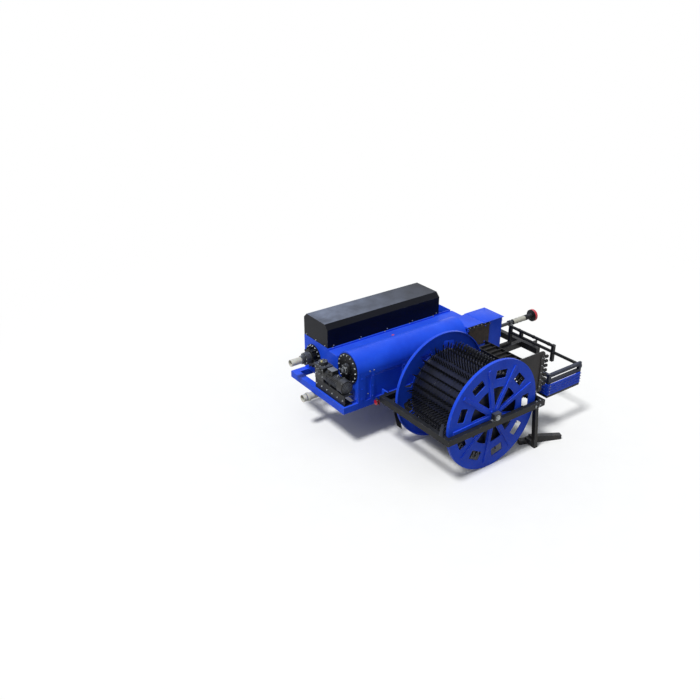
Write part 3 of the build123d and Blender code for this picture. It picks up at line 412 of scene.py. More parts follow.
# Each finish: its slot in the record, its maker, its colours, and what differs from the maker's usual
FINISHES = {
    # alkyd enamel on square tube and sheet: deep and even, with a soft shine; first colour from the panel
    "blue_enamel_on_steel": ("blue_paint", painted_steel, (None, "#1c49d8"), dict(roughness=0.36, gloss=0.1)),
    # the same enamel on the spoked discs and other thin laser-cut parts
    "blue_enamel_on_cut_plate": ("blue_paint", painted_steel, ("#2656ea", "#1b45cf"),
                                 dict(roughness=0.38, gloss=0.1, wear=0.6)),
    # drum sheet under the tines: dark navy
    "navy_enamel_on_drum_sheet": ("blue_paint", painted_steel, ("#161c36", "#0b0e1a"),
                                  dict(roughness=0.42, gloss=0.2, wear=0.6, dust=0.0)),
    # guide bars in a darker steel blue
    "slate_blue_enamel_on_tube": ("blue_paint", painted_steel, ("#252c44", "#151a2a"),
                                  dict(roughness=0.4, gloss=0.2, wear=0.6)),
    # satin black chassis enamel on tube
    "black_chassis_enamel": ("black_paint", painted_steel, ("#15161a", "#0b0c0e"),
                             dict(roughness=0.38, gloss=0.2)),
    # powder coat: near black on its sides; its top greyed by dust and by a painted highlight that grows lighter
    # towards the rear
    "black_powder_coated_cover": ("cover_skin", painted_steel, ("#0f121c", "#0a0c14"),
                                  dict(roughness=0.32, gloss=0.12, wear=0.15, dust=0.85, painted_rear_highlight=True)),
    # side plate with brown-grey dried juice
    "umber_stained_sheet": ("black_paint", painted_steel, ("#312e2e", "#211f20"),
                            dict(roughness=0.45, gloss=0.2, wear=0.6)),
    # abraded, pulp-splashed ground bar
    "dark_grey_wear_steel": ("black_paint", painted_steel, ("#2c2d33", "#191a1e"),
                             dict(roughness=0.45, gloss=0.3, wear=0.8)),
    # light grey enamel on the motor's box and the wheels
    "light_grey_enamel": ("grey_cast", painted_steel, ("#8d939d", "#737983"),
                          dict(roughness=0.4, gloss=0.3, wear=0.4)),
    # electroplated fasteners and the jack's leg
    "zinc_plated_steel": ("bare_steel", plated_steel, ("#aeb3b8",), dict(roughness=0.4)),
    # hardened tines, blued and oiled
    "blued_spring_steel": ("bare_steel", plated_steel, ("#2a2c33",), dict(roughness=0.4)),
    # turned shafts, rollers and pins
    "turned_steel_shaft": ("bare_steel", plated_steel, ("#7c8087",), dict(roughness=0.34)),
    # cast iron of the pump and the bearing housings, and cast aluminium painted black
    "dark_cast_iron": ("grey_cast", cast_metal, ("#43464c", "#2c2e33"), dict(roughness=0.5)),
    "black_cast_aluminium": ("grey_cast", cast_metal, ("#2a2b2e", "#141517"), dict(roughness=0.45)),
    # belt and fingers, then the flap with its pulp stains, then the tyres with dried soil
    "black_nitrile_rubber": ("black_rubber", rubber, ("#131316", "#35322f"), dict(soil=0.1)),
    "brown_stained_rubber": ("black_rubber", rubber, ("#1c1614", "#4a3a30"), dict(dust=0.6, soil=0.0)),
    "tyre_rubber": ("tyre_rubber", rubber, ("#141416", "#302e2b"), dict(dust=0.5, soil=0.22)),
    # lamp lens, then the parts of the drive shaft's guard
    "red_acrylic_lens": ("red_plastic", moulded_plastic, ("#c8202a", "#a3141d"),
                         dict(roughness=0.18, subsurface=0.1)),
    "red_polythene_guard": ("red_plastic", moulded_plastic, ("#cf3440", "#b12633"), dict(roughness=0.4)),
    "stone_polythene_sleeve": ("pale_plastic", moulded_plastic, ("#b7b6a9", "#98978b"), dict(roughness=0.45)),
    "black_polythene_sleeve": ("black_rubber", moulded_plastic, ("#202226", "#121316"), dict(roughness=0.4)),
    # seed pipes, and the breather's plug
    "cream_pvc_pipe": ("pale_plastic", moulded_plastic, ("#d8d7cd", "#bdbbae"),
                       dict(roughness=0.35, subsurface=0.1)),
    "straw_nylon_plug": ("pale_plastic", moulded_plastic, ("#e6dc9a", "#c9bd78"), dict(roughness=0.35)),
}

finishes = {}


def mix_finishes(colours):
    """Makes every finish of the machine."""
    panel_blue = tuple(colours.blue_paint) + (1.0,)
    for name, (slot, maker, tones, values) in FINISHES.items():
        finishes[name] = maker(name, *[linear(tone) if tone else panel_blue for tone in tones], **values)


# The frame's own parts, by finish
NODES_BY_FINISH = {
    "blue_enamel_on_steel": "base_frame near_casing far_body deck front_box inlet_housing",
    "blue_enamel_on_cut_plate": "outer_disc inner_disc guide_slats",
    "black_chassis_enamel":
        "headstock axle_beam pickup_frame near_end_plate far_flange motor_channel guide_post front_guard "
        "belt_frame scraper jack_tube",
    "black_cast_aluminium": "near_bearing gearbox drum_bearings motor",
    "navy_enamel_on_drum_sheet": "drum_core",
    "slate_blue_enamel_on_tube": "guide_frame",
    "black_powder_coated_cover": "cover",
    "dark_grey_wear_steel": "ground_bar",
    "umber_stained_sheet": "side_plate",
    "turned_steel_shaft": "drum_shaft belt_rollers link_pins",
    "blued_spring_steel": "drum_spikes",
    "zinc_plated_steel": "jack_leg",
    "dark_cast_iron": "seed_pump",
    "light_grey_enamel": "rim_left rim_right",
    "tyre_rubber": "tyre_left tyre_right",
    "black_nitrile_rubber": "cross_belt rubber_fingers",
    "brown_stained_rubber": "inlet_flap",
    "red_acrylic_lens": "tail_lamp",
    "black_polythene_sleeve": "pto_shaft",
    "cream_pvc_pipe": "pump_spout seed_outlet",
}


# Small parts that repeat, modelled once at the origin and pointing up +Z

def hex_bolt(across, height):
    """A hexagon head with a chamfered top on its washer."""
    washer = bar((0, 0, 0), (0, 0, height * 0.25), across * 0.64, 20)
    soften(washer, height * 0.06, 1)
    head = bar((0, 0, height * 0.2), (0, 0, height), across * 0.55, 6)
    pick(head, lambda at, normal: normal.z > 0.9)
    bpy.ops.mesh.inset(thickness=across * 0.05)
    bpy.ops.transform.translate(value=(0, 0, height * 0.12))
    bpy.ops.object.mode_set(mode="OBJECT")
    return join([washer, head], "hex_bolt")


def fasten(name, places, body, across=0.024, height=0.012, finish="zinc_plated_steel"):
    """Hexagon bolts at their places, joined into one piece."""
    return dress(repeat(hex_bolt(across, height), places, name), finish, body)


def weld(name, lines, body, finish):
    """Weld beads along lines: overlapping scales, painted with what they join."""
    let_go()
    bpy.ops.mesh.primitive_uv_sphere_add(segments=8, ring_count=5, radius=0.0055)
    scale = settle(bpy.context.object)
    pick(scale, lambda at, normal: True)
    bpy.ops.transform.resize(value=(1.0, 1.0, 0.6), center_override=(0, 0, 0))
    bpy.ops.object.mode_set(mode="OBJECT")
    bpy.ops.object.shade_smooth()
    places = []
    for start, end in lines:
        count = max(2, round((Vector(end) - Vector(start)).length / 0.006))
        places += row_places(start, end, count, Z)
    return dress(repeat(scale, places, name), finish, body)


# Sizes of the frame that its boxes don't give
PLATE_THICK = 0.014
BEARING_OUT = 0.046
PUMP_LONG = 0.09
FAN_R = 0.1
ADAPTOR_LONG = 0.07
SIDE_PLATE_FACE = -1.26


# Property groups

class HarvesterColours(bpy.types.PropertyGroup):
    """Colours that a user would change."""
    blue_paint: bpy.props.FloatVectorProperty(
        name="Blue paint", description="Enamel of frame, casings and boxes", subtype="COLOR", size=3,
        min=0.0, max=1.0, default=linear("#2558ec")[:3])
    floor: bpy.props.FloatVectorProperty(
        name="Floor", description="Colour of the studio floor", subtype="COLOR", size=3, min=0.0, max=1.0,
        default=linear("#f4f4f2")[:3])


class HarvesterSizes(bpy.types.PropertyGroup):
    """Sizes that a user would change."""
    bolt_across: bpy.props.FloatProperty(
        name="Bolt width", description="Width across the flats of the large bolts", unit="LENGTH",
        default=0.024, min=0.01, max=0.05)
    tine_length: bpy.props.FloatProperty(
        name="Tine length", description="How far a tine stands out of the drum", unit="LENGTH",
        default=0.118, min=0.05, max=0.12)
    tread_depth: bpy.props.FloatProperty(
        name="Tread depth", description="Depth of the grooves in the tyres", unit="LENGTH", default=0.008,
        min=0.002, max=0.02)


# Operators

class HARVESTER_OT_finishes(bpy.types.Operator):
    """Mix every finish and paint the frame's own parts"""
    bl_idname = "harvester.finishes"
    bl_label = "Finishes"

    def execute(self, context):
        mix_finishes(context.scene.harvester_colours)
        for finish, names in NODES_BY_FINISH.items():
            for name in names.split():
                nodes[name].data.materials.clear()
                nodes[name].data.materials.append(finishes[finish])
        return {"FINISHED"}


class HARVESTER_OT_tines(bpy.types.Operator):
    """Pointed tines with a forged collar on the pick-up drum, and the drum's rolled hoops"""
    bl_idname = "harvester.tines"
    bl_label = "Tines"

    def execute(self, context):
        drum = middle("drum_core")
        radius = (high("drum_core").z - low("drum_core").z) / 2
        start, end = low("drum_core").y, high("drum_core").y
        length = context.scene.harvester_sizes.tine_length
        tine = bar((0, 0, -0.004), (0, 0, 0.012), 0.017, 10)
        pick(tine, lambda at, normal: normal.z > 0.9)
        bpy.ops.mesh.inset(thickness=0.008)
        bpy.ops.mesh.extrude_region_move(TRANSFORM_OT_translate={"value": (0, 0, length * 0.72)})
        bpy.ops.mesh.extrude_region_move(TRANSFORM_OT_translate={"value": (0, 0, length * 0.26 - 0.012)})
        bpy.ops.transform.resize(value=(0.3, 0.3, 1.0), center_override=(0, 0, length))
        bpy.ops.object.mode_set(mode="OBJECT")
        rows, in_row = 34, 18
        places = []
        for row in range(rows):
            turn = 2 * math.pi * row / rows
            out = math.cos(turn) * X + math.sin(turn) * Z
            for i in range(in_row):
                y = start + (i + (0.75, 0.25)[row % 2]) * (end - start) / in_row
                places.append((at_y(drum, y) + radius * out, out))
        tines = dress(repeat(tine, places, "pointed_tines"), "blued_spring_steel", "drum")
        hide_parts("drum_spikes")
        hoops = []
        for share in (0.02, 0.35, 0.65, 0.98):
            y = start + share * (end - start)
            hoops.append(collar(at_y(drum, y - 0.012), at_y(drum, y + 0.012), radius + 0.004, 0.008, 72))
        finish_as(hoops, "drum_hoops", "navy_enamel_on_drum_sheet", "drum")
        return {"FINISHED"}


class HARVESTER_OT_disc_fittings(bpy.types.Operator):
    """Bolts, hub flanges and rim screws on the two spoked discs"""
    bl_idname = "harvester.disc_fittings"
    bl_label = "Disc fittings"

    def execute(self, context):
        hub = middle("drum_shaft")
        for disc, side in (("outer_disc", -1), ("inner_disc", 1)):
            face = middle(disc).y + side * 0.006
            out = side * Y
            centre = at_y(hub, face)
            fasten(disc + "_hub_bolts", ring_places(centre, out, 0.066, 6, 0.2), "drum", 0.019, 0.010)
            flange = collar(centre, at_y(hub, face + side * 0.007), 0.092, 0.058)
            finish_as([flange], disc + "_hub_flange", "blue_enamel_on_cut_plate", "drum")
            places = ring_places(centre, out, 0.735, 27, 0.06)
            fasten(disc + "_rim_screws", places, "drum", 0.012, 0.006, "blue_enamel_on_cut_plate")
        return {"FINISHED"}


class HARVESTER_OT_end_plate_fittings(bpy.types.Operator):
    """Bright bolts round the casing's end plate and its bearing with a locking ring"""
    bl_idname = "harvester.end_plate_fittings"
    bl_label = "End plate"

    def execute(self, context):
        plate_at, hub = middle("near_end_plate"), middle("near_bearing")
        face = high("near_end_plate").x - PLATE_THICK
        across = context.scene.harvester_sizes.bolt_across * 0.8
        fasten("end_plate_bolts", ring_places(at_x(plate_at, face), -X, 0.200, 16), "base", across)
        fasten("end_plate_inner_bolts", ring_places(at_x(plate_at, face), -X, 0.118, 8, 0.39), "base",
               0.016, 0.008, "black_chassis_enamel")
        front = face - BEARING_OUT
        fasten("bearing_bolts", ring_places(at_x(hub, front), -X, 0.063, 4, 0.785), "base", 0.017, 0.009)
        ring = collar(at_x(hub, front), at_x(hub, front - 0.014), 0.046, 0.0155)
        finish_as([ring], "bearing_locking_ring", "zinc_plated_steel", "base")
        end = bar(at_x(hub, low("near_bearing").x - 0.001), at_x(hub, low("near_bearing").x + 0.02), 0.0308)
        soften(end, 0.003)
        centre = bar(at_x(hub, low("near_bearing").x - 0.0015), at_x(hub, low("near_bearing").x + 0.004),
                     0.009, 16)
        finish_as([end, soften(centre, 0.0008)], "shaft_end", "turned_steel_shaft", "base")
        fasten("bearing_grease_nipple", [((front + 0.02, hub.y, hub.z + 0.077), Z)], "base", 0.009, 0.014)
        return {"FINISHED"}


class HARVESTER_OT_pump_fittings(bpy.types.Operator):
    """Bolts and clamps on the far flange, the seed pump and both pale pipes"""
    bl_idname = "harvester.pump_fittings"
    bl_label = "Seed pump"

    def execute(self, context):
        flange, pump = middle("far_flange"), middle("seed_pump")
        face = high("far_flange").x - PLATE_THICK
        across = context.scene.harvester_sizes.bolt_across * 0.8
        fasten("far_flange_bolts", ring_places(at_x(flange, face), -X, 0.167, 16), "base", across)
        shoulder = high("seed_pump").x - PUMP_LONG
        fasten("pump_bolts", ring_places(at_x(pump, shoulder), -X, 0.079, 8, 0.3), "base", 0.013, 0.008)
        ribs = []
        for angle in range(0, 360, 30):
            out = math.cos(math.radians(angle)) * Y + math.sin(math.radians(angle)) * Z
            centre = at_x(pump, 0) + 0.089 * out
            ribs.append(soften(bar(at_x(centre, high("seed_pump").x - 0.004),
                                   at_x(centre, shoulder + 0.004), 0.006, 8), 0.002, 1))
        finish_as(ribs, "pump_ribs", "dark_cast_iron", "base")
        pipe = middle("pump_spout")
        edge = low("seed_pump").x
        clamps = [collar(at_x(pipe, edge + 0.002), at_x(pipe, edge - 0.016), 0.0545, 0.003),
                  soften(block((edge - 0.013, pipe.y - 0.02, pipe.z + 0.053),
                               (edge - 0.002, pipe.y + 0.02, pipe.z + 0.066)), 0.002)]
        outlet = middle("seed_outlet")
        grip = low("seed_outlet").x + 0.05
        clamps.append(collar(at_x(outlet, grip), at_x(outlet, grip + 0.018), 0.0575, 0.003))
        finish_as(clamps, "hose_clamps", "zinc_plated_steel", "base")
        beads = [collar(at_x(at, pipe_end), at_x(at, pipe_end + 0.012), radius, 0.004)
                 for pipe_end, at, radius in ((low("pump_spout").x + 0.001, pipe, 0.0535),
                                              (low("seed_outlet").x + 0.001, outlet, 0.0565))]
        finish_as(beads, "pipe_end_beads", "cream_pvc_pipe", "base")
        return {"FINISHED"}


class HARVESTER_OT_drive_fittings(bpy.types.Operator):
    """Gearbox bolts and plugs, motor grille, junction box and gland, and bolts of the channel"""
    bl_idname = "harvester.drive_fittings"
    bl_label = "Rear drive"

    def execute(self, context):
        mid_x = middle("motor_channel").x
        left_y = high("gearbox").y - 0.014
        top = high("gearbox").z
        deck_z = top - 0.05
        body_mid_y = left_y - 0.105
        places = ring_places((mid_x, body_mid_y, deck_z), Z, 0.079, 8, 0.39)
        places += ring_places((mid_x, body_mid_y, top), Z, 0.044, 6)
        rear_face = mid_x - 0.075
        places += [((rear_face, body_mid_y + y, deck_z - 0.02 + z), -X) for y in (-0.085, 0.085)
                   for z in (-0.13, -0.025)]
        fasten("gearbox_bolts", places, "base", 0.016, 0.009)
        cover = bar((rear_face, body_mid_y, deck_z - 0.09), (rear_face - 0.009, body_mid_y, deck_z - 0.09),
                    0.055, 40)
        boss = bar((rear_face - 0.008, body_mid_y, deck_z - 0.09),
                   (rear_face - 0.016, body_mid_y, deck_z - 0.09), 0.02, 24)
        finish_as([soften(cover, 0.002), soften(boss, 0.002)], "gearbox_cover", "black_cast_aluminium",
                  "base")
        fasten("gearbox_cover_screws",
               ring_places((rear_face - 0.009, body_mid_y, deck_z - 0.09), -X, 0.046, 6), "base", 0.010,
               0.005)
        plug = soften(bar((mid_x - 0.04, body_mid_y - 0.02, top),
                          (mid_x - 0.04, body_mid_y - 0.02, top + 0.022), 0.014, 16), 0.004)
        finish_as([plug], "breather_plug", "straw_nylon_plug", "base")
        # fan cowl at the motor's right end: a grille of rings and bars
        end, axis_z = low("motor").y, low("motor").z + FAN_R
        grille = [collar((mid_x, end - 0.003, axis_z), (mid_x, end + 0.004, axis_z), radius, 0.004, 32)
                  for radius in (0.078, 0.060, 0.042, 0.024)]
        for angle in range(0, 180, 30):
            out = math.cos(math.radians(angle)) * X + math.sin(math.radians(angle)) * Z
            centre = Vector((mid_x, end - 0.0005, axis_z))
            grille.append(soften(bar(centre - 0.08 * out, centre + 0.08 * out, 0.0022, 8), 0.0006, 1))
        finish_as(grille, "fan_grille", "turned_steel_shaft", "base")
        fasten("fan_cowl_screws", [((mid_x + 0.0995 * math.cos(a), end + 0.03, axis_z + 0.0995 * math.sin(a)),
                                    (math.cos(a), 0, math.sin(a))) for a in (0.785, 2.356, 3.927, 5.498)],
               "base", 0.009, 0.005)
        box_top, box_y = high("motor").z, high("motor").y - ADAPTOR_LONG - 0.06
        lid = plate((mid_x - 0.052, box_y - 0.062, box_top - 0.001),
                    (mid_x + 0.052, box_y + 0.062, box_top + 0.008), 0.004)
        finish_as([lid], "junction_box_lid", "light_grey_enamel", "base")
        fasten("junction_box_screws", [((mid_x + x, box_y + y, box_top + 0.008), Z) for x in (-0.042, 0.042)
                                       for y in (-0.051, 0.051)], "base", 0.009, 0.004)
        gland_x, gland_z = mid_x - 0.05, box_top - 0.027
        gland = bar((gland_x + 0.002, box_y, gland_z), (gland_x - 0.022, box_y, gland_z), 0.012, 6)
        finish_as([soften(gland, 0.002)], "cable_gland", "black_nitrile_rubber", "base")
        eye_y = end + 0.20
        eye = collar((mid_x, eye_y - 0.007, 1.010), (mid_x, eye_y + 0.007, 1.010), 0.022, 0.008)
        finish_as([eye], "lifting_eye", "zinc_plated_steel", "base")
        places = row_places((low("motor_channel").x, 0.20, 0.735), (low("motor_channel").x, 0.84, 0.735), 6,
                            -X)
        places += row_places((mid_x + 0.045, 0.20, high("motor_channel").z),
                             (mid_x + 0.045, 0.54, high("motor_channel").z), 3, Z)
        fasten("channel_bolts", places, "base", 0.019, 0.010)
        for index, foot_y in enumerate((end + 0.15, end + 0.34)):
            foot = plate((mid_x - 0.06, foot_y - 0.02, high("motor_channel").z), (mid_x + 0.06, foot_y + 0.02,
                                                                                 axis_z - 0.07), 0.003)
            finish_as([foot], f"motor_foot_{index + 1}", "black_cast_aluminium", "base")
        return {"FINISHED"}


class HARVESTER_OT_body_fittings(bpy.types.Operator):
    """Bolts and seams of the casing, the deck, the black cover and the far body"""
    bl_idname = "harvester.body_fittings"
    bl_label = "Body"

    def execute(self, context):
        rear, front = low("near_casing").x, high("near_casing").x
        side = low("near_casing").y
        places = [((x, side, z), -Y) for x,
                  z in ((rear + 0.196, 1.103), (rear + 0.267, 1.101), (rear + 0.166, 0.758))]
        rail_top = high("deck").z
        places += row_places((rear + 0.09, high("deck").y - 0.015, rail_top),
                             (0.28, high("deck").y - 0.015, rail_top), 5, Z)
        places += [((x, low("deck").y + 0.015, rail_top), Z) for x in (-1.35, -0.9, -0.45, 0.189)]
        places += row_places((-1.608, low("cover").y, low("cover").z + 0.02), (0.352, low("cover").y,
                                                                             low("cover").z + 0.02), 5, -Y)
        places += [((low("cover").x, y, low("cover").z + 0.02), -X) for y in (0.95, 1.19, 1.44)]
        fasten("bright_body_bolts", places, "base", 0.017, 0.009)
        places = []
        for x in (-1.66, -1.4725, -0.9125, -0.3525, 0.24):
            places += [((x, side, z), -Y) for z in (0.70, 0.86, 1.02)]
        places += row_places((rear, side + 0.06, 0.68), (rear, side + 0.43, 0.68), 5, -X)
        fasten("painted_casing_bolts", places, "base", 0.015, 0.008, "blue_enamel_on_steel")
        knob = [bar((-0.681, 0.68, 1.174), (-0.681, 0.68, 1.195), 0.008, 12),
                bar((-0.681, 0.68, 1.19), (-0.681, 0.68, 1.212), 0.021, 20)]
        finish_as([soften(piece, 0.002) for piece in knob], "drain_valve_knob", "red_polythene_guard", "base")
        # a flange joins the casing's round top to its ledge
        strips = []
        for y in (side + 0.004, high("near_casing").y - 0.016):
            strips.append(plate((rear + 0.01, y, 1.083), (front - 0.01, y + 0.012, 1.0895), 0.002))
        finish_as(strips, "casing_joint_strips", "blue_enamel_on_steel", "base")
        # fold and joint of the cover's sheet
        trim = []
        for x in (low("cover").x + 0.70, low("cover").x + 1.41):
            trim.append(plate((x - 0.002, low("cover").y + 0.072, high("cover").z - 0.001),
                              (x + 0.002, high("cover").y - 0.072, high("cover").z + 0.0001), 0.0004))
        finish_as(trim, "cover_sheet_joints", "black_powder_coated_cover", "base")
        return {"FINISHED"}


class HARVESTER_OT_far_body_fittings(bpy.types.Operator):
    """Service doors with hinges and latches on the far side, and the tub's bolts"""
    bl_idname = "harvester.far_body_fittings"
    bl_label = "Far side"

    def execute(self, context):
        wall = high("far_body").y
        hinges, latches = [], []
        for index, (x_start, x_end) in enumerate(((-1.62, -0.98), (-0.92, -0.28), (-0.22, 0.36))):
            door = plate((x_start, wall - 0.001, 0.73), (x_end, wall + 0.0035, 1.13), 0.0015)
            finish_as([door], f"service_door_{index + 1}", "blue_enamel_on_steel", "base")
            for x in (x_start + 0.08, x_end - 0.08):
                hinges.append(soften(bar((x - 0.03, wall + 0.001, 1.137), (x + 0.03, wall + 0.001, 1.137),
                                         0.0045, 12), 0.001, 1))
            middle_x = (x_start + x_end) / 2
            latches.append(plate((middle_x - 0.035, wall + 0.002, 0.75),
                                 (middle_x + 0.035, wall + 0.0055, 0.775), 0.001))
        finish_as(hinges, "door_hinges", "zinc_plated_steel", "base")
        finish_as(latches, "door_latches", "black_chassis_enamel", "base")
        rim_x, front = high("cover").x, high("far_body").x
        fasten("tub_bolts", row_places((front, 0.95, 1.16), (front, 1.43, 1.16), 5, X), "base", 0.015, 0.008,
               "blue_enamel_on_steel")
        seams = [((rim_x + 0.004, low("far_body").y + 0.02, 1.199), (rim_x + 0.004, wall - 0.02, 1.199))]
        weld("far_body_welds", seams, "base", "blue_enamel_on_steel")
        return {"FINISHED"}


class HARVESTER_OT_front_box_fittings(bpy.types.Operator):
    """Lid and bolts of the front box, and the header that holds the inlet flap"""
    bl_idname = "harvester.front_box_fittings"
    bl_label = "Front box and inlet"

    def execute(self, context):
        box_low, box_high = low("front_box"), high("front_box")
        top = box_high.z
        lid = plate((box_low.x + 0.02, box_low.y + 0.02, top - 0.002),
                    (box_high.x - 0.02, box_high.y - 0.02, top + 0.0025), 0.0012)
        finish_as([lid], "front_box_lid", "blue_enamel_on_steel", "base")
        places = [((x, y, top + 0.0025), Z) for x in (box_low.x + 0.05, box_high.x - 0.05)
                  for y in (box_low.y + 0.05, box_high.y - 0.05)]
        places += [((x, box_low.y + 0.001, z), -Y) for x in (box_low.x + 0.045, box_high.x - 0.045)
                   for z in (0.70, 0.95, top - 0.05)]
        fasten("front_box_bolts", places, "base", 0.014, 0.007, "blue_enamel_on_steel")
        front = box_high.x
        places = [((front, y, z), X) for y in (box_low.y + 0.06, box_high.y - 0.06)
                  for z in (0.72, top - 0.07)]
        fasten("front_wall_bolts", places, "base", 0.019, 0.009)
        pto = middle("pto_shaft")
        housing = collar(at_x(pto, front), at_x(pto, front + 0.030), 0.062, 0.014)
        finish_as([housing], "input_bearing_housing", "dark_cast_iron", "base")
        fasten("input_bearing_bolts", ring_places(at_x(pto, front + 0.002), X, 0.080, 4, 0.785), "base",
               0.015, 0.008)
        flap_low, flap_high = low("inlet_flap"), high("inlet_flap")
        pin_z = flap_high.z - 0.012
        header = plate((flap_low.x + 0.004, 0.1215, pin_z + 0.018), (0.763, 0.1295, 1.262), 0.0015)
        knuckles = [collar((x - 0.022, 0.1197, pin_z), (x + 0.022, 0.1197, pin_z), 0.0128, 0.003, 20)
                    for x in (0.39, 0.54, 0.69)]
        finish_as([header], "flap_header", "black_chassis_enamel", "base")
        finish_as(knuckles, "flap_knuckles", "black_chassis_enamel", "flap")
        places = row_places((0.345, 0.1215, 1.25), (0.74, 0.1215, 1.25), 6, -Y)
        fasten("flap_header_bolts", places, "base", 0.013, 0.007)
        return {"FINISHED"}


class HARVESTER_OT_pickup_fittings(bpy.types.Operator):
    """Bearing bolts, hinge bolts, corner gussets and weld beads of the pick-up frame, and its lamp"""
    bl_idname = "harvester.pickup_fittings"
    bl_label = "Pick-up frame"

    def execute(self, context):
        shaft = middle("drum_shaft")
        outer_y, top = low("pickup_frame").y, high("pickup_frame").z
        places = []
        for y in (outer_y + 0.03, -0.232):
            places += [((shaft.x + dx, y, top + 0.010), Z) for dx in (-0.075, 0.075)]
        feet = [plate((shaft.x - 0.095, y - 0.024, top), (shaft.x + 0.095, y + 0.024, top + 0.010), 0.002)
                for y in (outer_y + 0.03, -0.232)]
        finish_as(feet, "drum_bearing_feet", "black_cast_aluminium", "pickup")
        places += [((x, outer_y, 0.719), -Y) for x in (0.14, 0.22)]
        fasten("pickup_bolts", places, "pickup", 0.020, 0.012)
        # lock nut and washer on the shaft's outer end
        nut = bar(at_y(shaft, outer_y + 0.004), at_y(shaft, outer_y - 0.018), 0.030, 8)
        washer = collar(at_y(shaft, outer_y + 0.003), at_y(shaft, outer_y - 0.004), 0.040, 0.012)
        finish_as([soften(nut, 0.003), washer], "drum_shaft_nut", "zinc_plated_steel", "drum")
        pins = []
        for x in (-1.29, 0.14):
            pins.append(soften(bar((x - 0.052, -0.052, 0.719), (x - 0.040, -0.052, 0.719), 0.016, 6), 0.002))
        finish_as(pins, "hinge_pin_nuts", "zinc_plated_steel", "pickup")
        rear = low("pickup_frame").x
        gusset = block((rear, outer_y + 0.11, top), (rear + 0.010, outer_y + 0.185, top + 0.186))
        pick(gusset, lambda at, normal: normal.z > 0.9)
        bpy.ops.transform.resize(value=(1.0, 0.45, 1.0), center_override=(rear, outer_y + 0.11, top + 0.186))
        bpy.ops.object.mode_set(mode="OBJECT")
        finish_as([soften(gusset, 0.002)], "pickup_corner_plate", "slate_blue_enamel_on_tube", "pickup")
        front = high("pickup_frame").x
        lines = []
        for corner_x in (rear + 0.06, front - 0.06):
            for y in (outer_y + 0.06, -0.082):
                inward = 1 if y < -0.5 else -1
                lines.append(((corner_x, y - inward * 0.058, top + 0.001),
                              (corner_x, y - inward * 0.004, top + 0.001)))
        weld("pickup_corner_welds", lines, "pickup", "black_chassis_enamel")
        # lamp: black housing with a rim, and its bracket
        lens = low("tail_lamp").x
        lamp = middle("tail_lamp")
        rim = collar(at_x(lamp, lens + 0.001), at_x(lamp, lens + 0.026), 0.0405, 0.005)
        finish_as([rim], "lamp_rim", "black_polythene_sleeve", "base")
        rings = [collar(at_x(lamp, lens - 0.001), at_x(lamp, lens + 0.004), radius, 0.002)
                 for radius in (0.030, 0.020, 0.010)]
        finish_as(rings, "lamp_lens_ridges", "red_acrylic_lens", "base")
        bracket = plate((lens + 0.030, lamp.y - 0.035, lamp.z - 0.03), (lens + 0.036, 0.132, lamp.z + 0.05),
                        0.002)
        finish_as([bracket], "lamp_bracket", "black_chassis_enamel", "base")
        fasten("lamp_bracket_bolts", [((lens + 0.030, 0.122, lamp.z + z), -X) for z in (-0.015, 0.035)],
               "base", 0.010, 0.006)
        return {"FINISHED"}


class HARVESTER_OT_belt_fittings(bpy.types.Operator):
    """Roller bearings, tension screws and bolts of the cross belt, its side plate and rubber fingers"""
    bl_idname = "harvester.belt_fittings"
    bl_label = "Cross belt and side plate"

    def execute(self, context):
        belt_low, belt_high = low("belt_frame"), high("belt_frame")
        axis_z = middle("belt_rollers").z
        housings, screws = [], []
        for y in (belt_low.y + 0.075, belt_high.y - 0.075):
            for x, side in ((belt_low.x, -1), (belt_high.x, 1)):
                housings.append(plate((x, y - 0.035, axis_z - 0.035),
                                      (x + side * 0.014, y + 0.035, axis_z + 0.035), 0.003)
                                if side > 0 else plate((x - 0.014, y - 0.035, axis_z - 0.035),
                                                       (x, y + 0.035, axis_z + 0.035), 0.003))
                screws += [((x + side * 0.014, y + dy, axis_z + dz), side * X) for dy in (-0.024, 0.024)
                           for dz in (-0.024, 0.024)]
        finish_as(housings, "roller_bearings", "dark_cast_iron", "pickup")
        screws += row_places((belt_high.x, belt_low.y + 0.2, belt_high.z - 0.03),
                             (belt_high.x, belt_high.y - 0.2, belt_high.z - 0.03), 5, X)
        fasten("belt_frame_bolts", screws, "pickup", 0.012, 0.007)
        plate_low, plate_high = low("side_plate"), high("side_plate")
        face = SIDE_PLATE_FACE
        bars = [plate((plate_low.x + 0.05, face - 0.012, 0.81), (plate_high.x - 0.09, face + 0.001, 0.84),
                      0.003), plate((plate_high.x - 0.085, face - 0.010, 0.80),
                                    (plate_high.x - 0.045, face + 0.001, 1.36), 0.003)]
        finish_as(bars, "side_plate_stiffeners", "umber_stained_sheet", "pickup")
        places = row_places((plate_low.x + 0.09, face - 0.012, 0.825),
                            (plate_high.x - 0.13, face - 0.012, 0.825), 6, -Y)
        places += row_places((plate_high.x - 0.065, face - 0.010, 0.88),
                             (plate_high.x - 0.065, face - 0.010, 1.32), 5, -Y)
        fasten("side_plate_bolts", places, "pickup", 0.014, 0.008)
        places = row_places((plate_high.x - 0.014, face - 0.001, low("rubber_fingers").z + 0.017),
                            (plate_high.x - 0.014, face - 0.001, high("rubber_fingers").z - 0.017), 7, -Y)
        fasten("finger_bolts", places, "pickup", 0.012, 0.006)
        return {"FINISHED"}


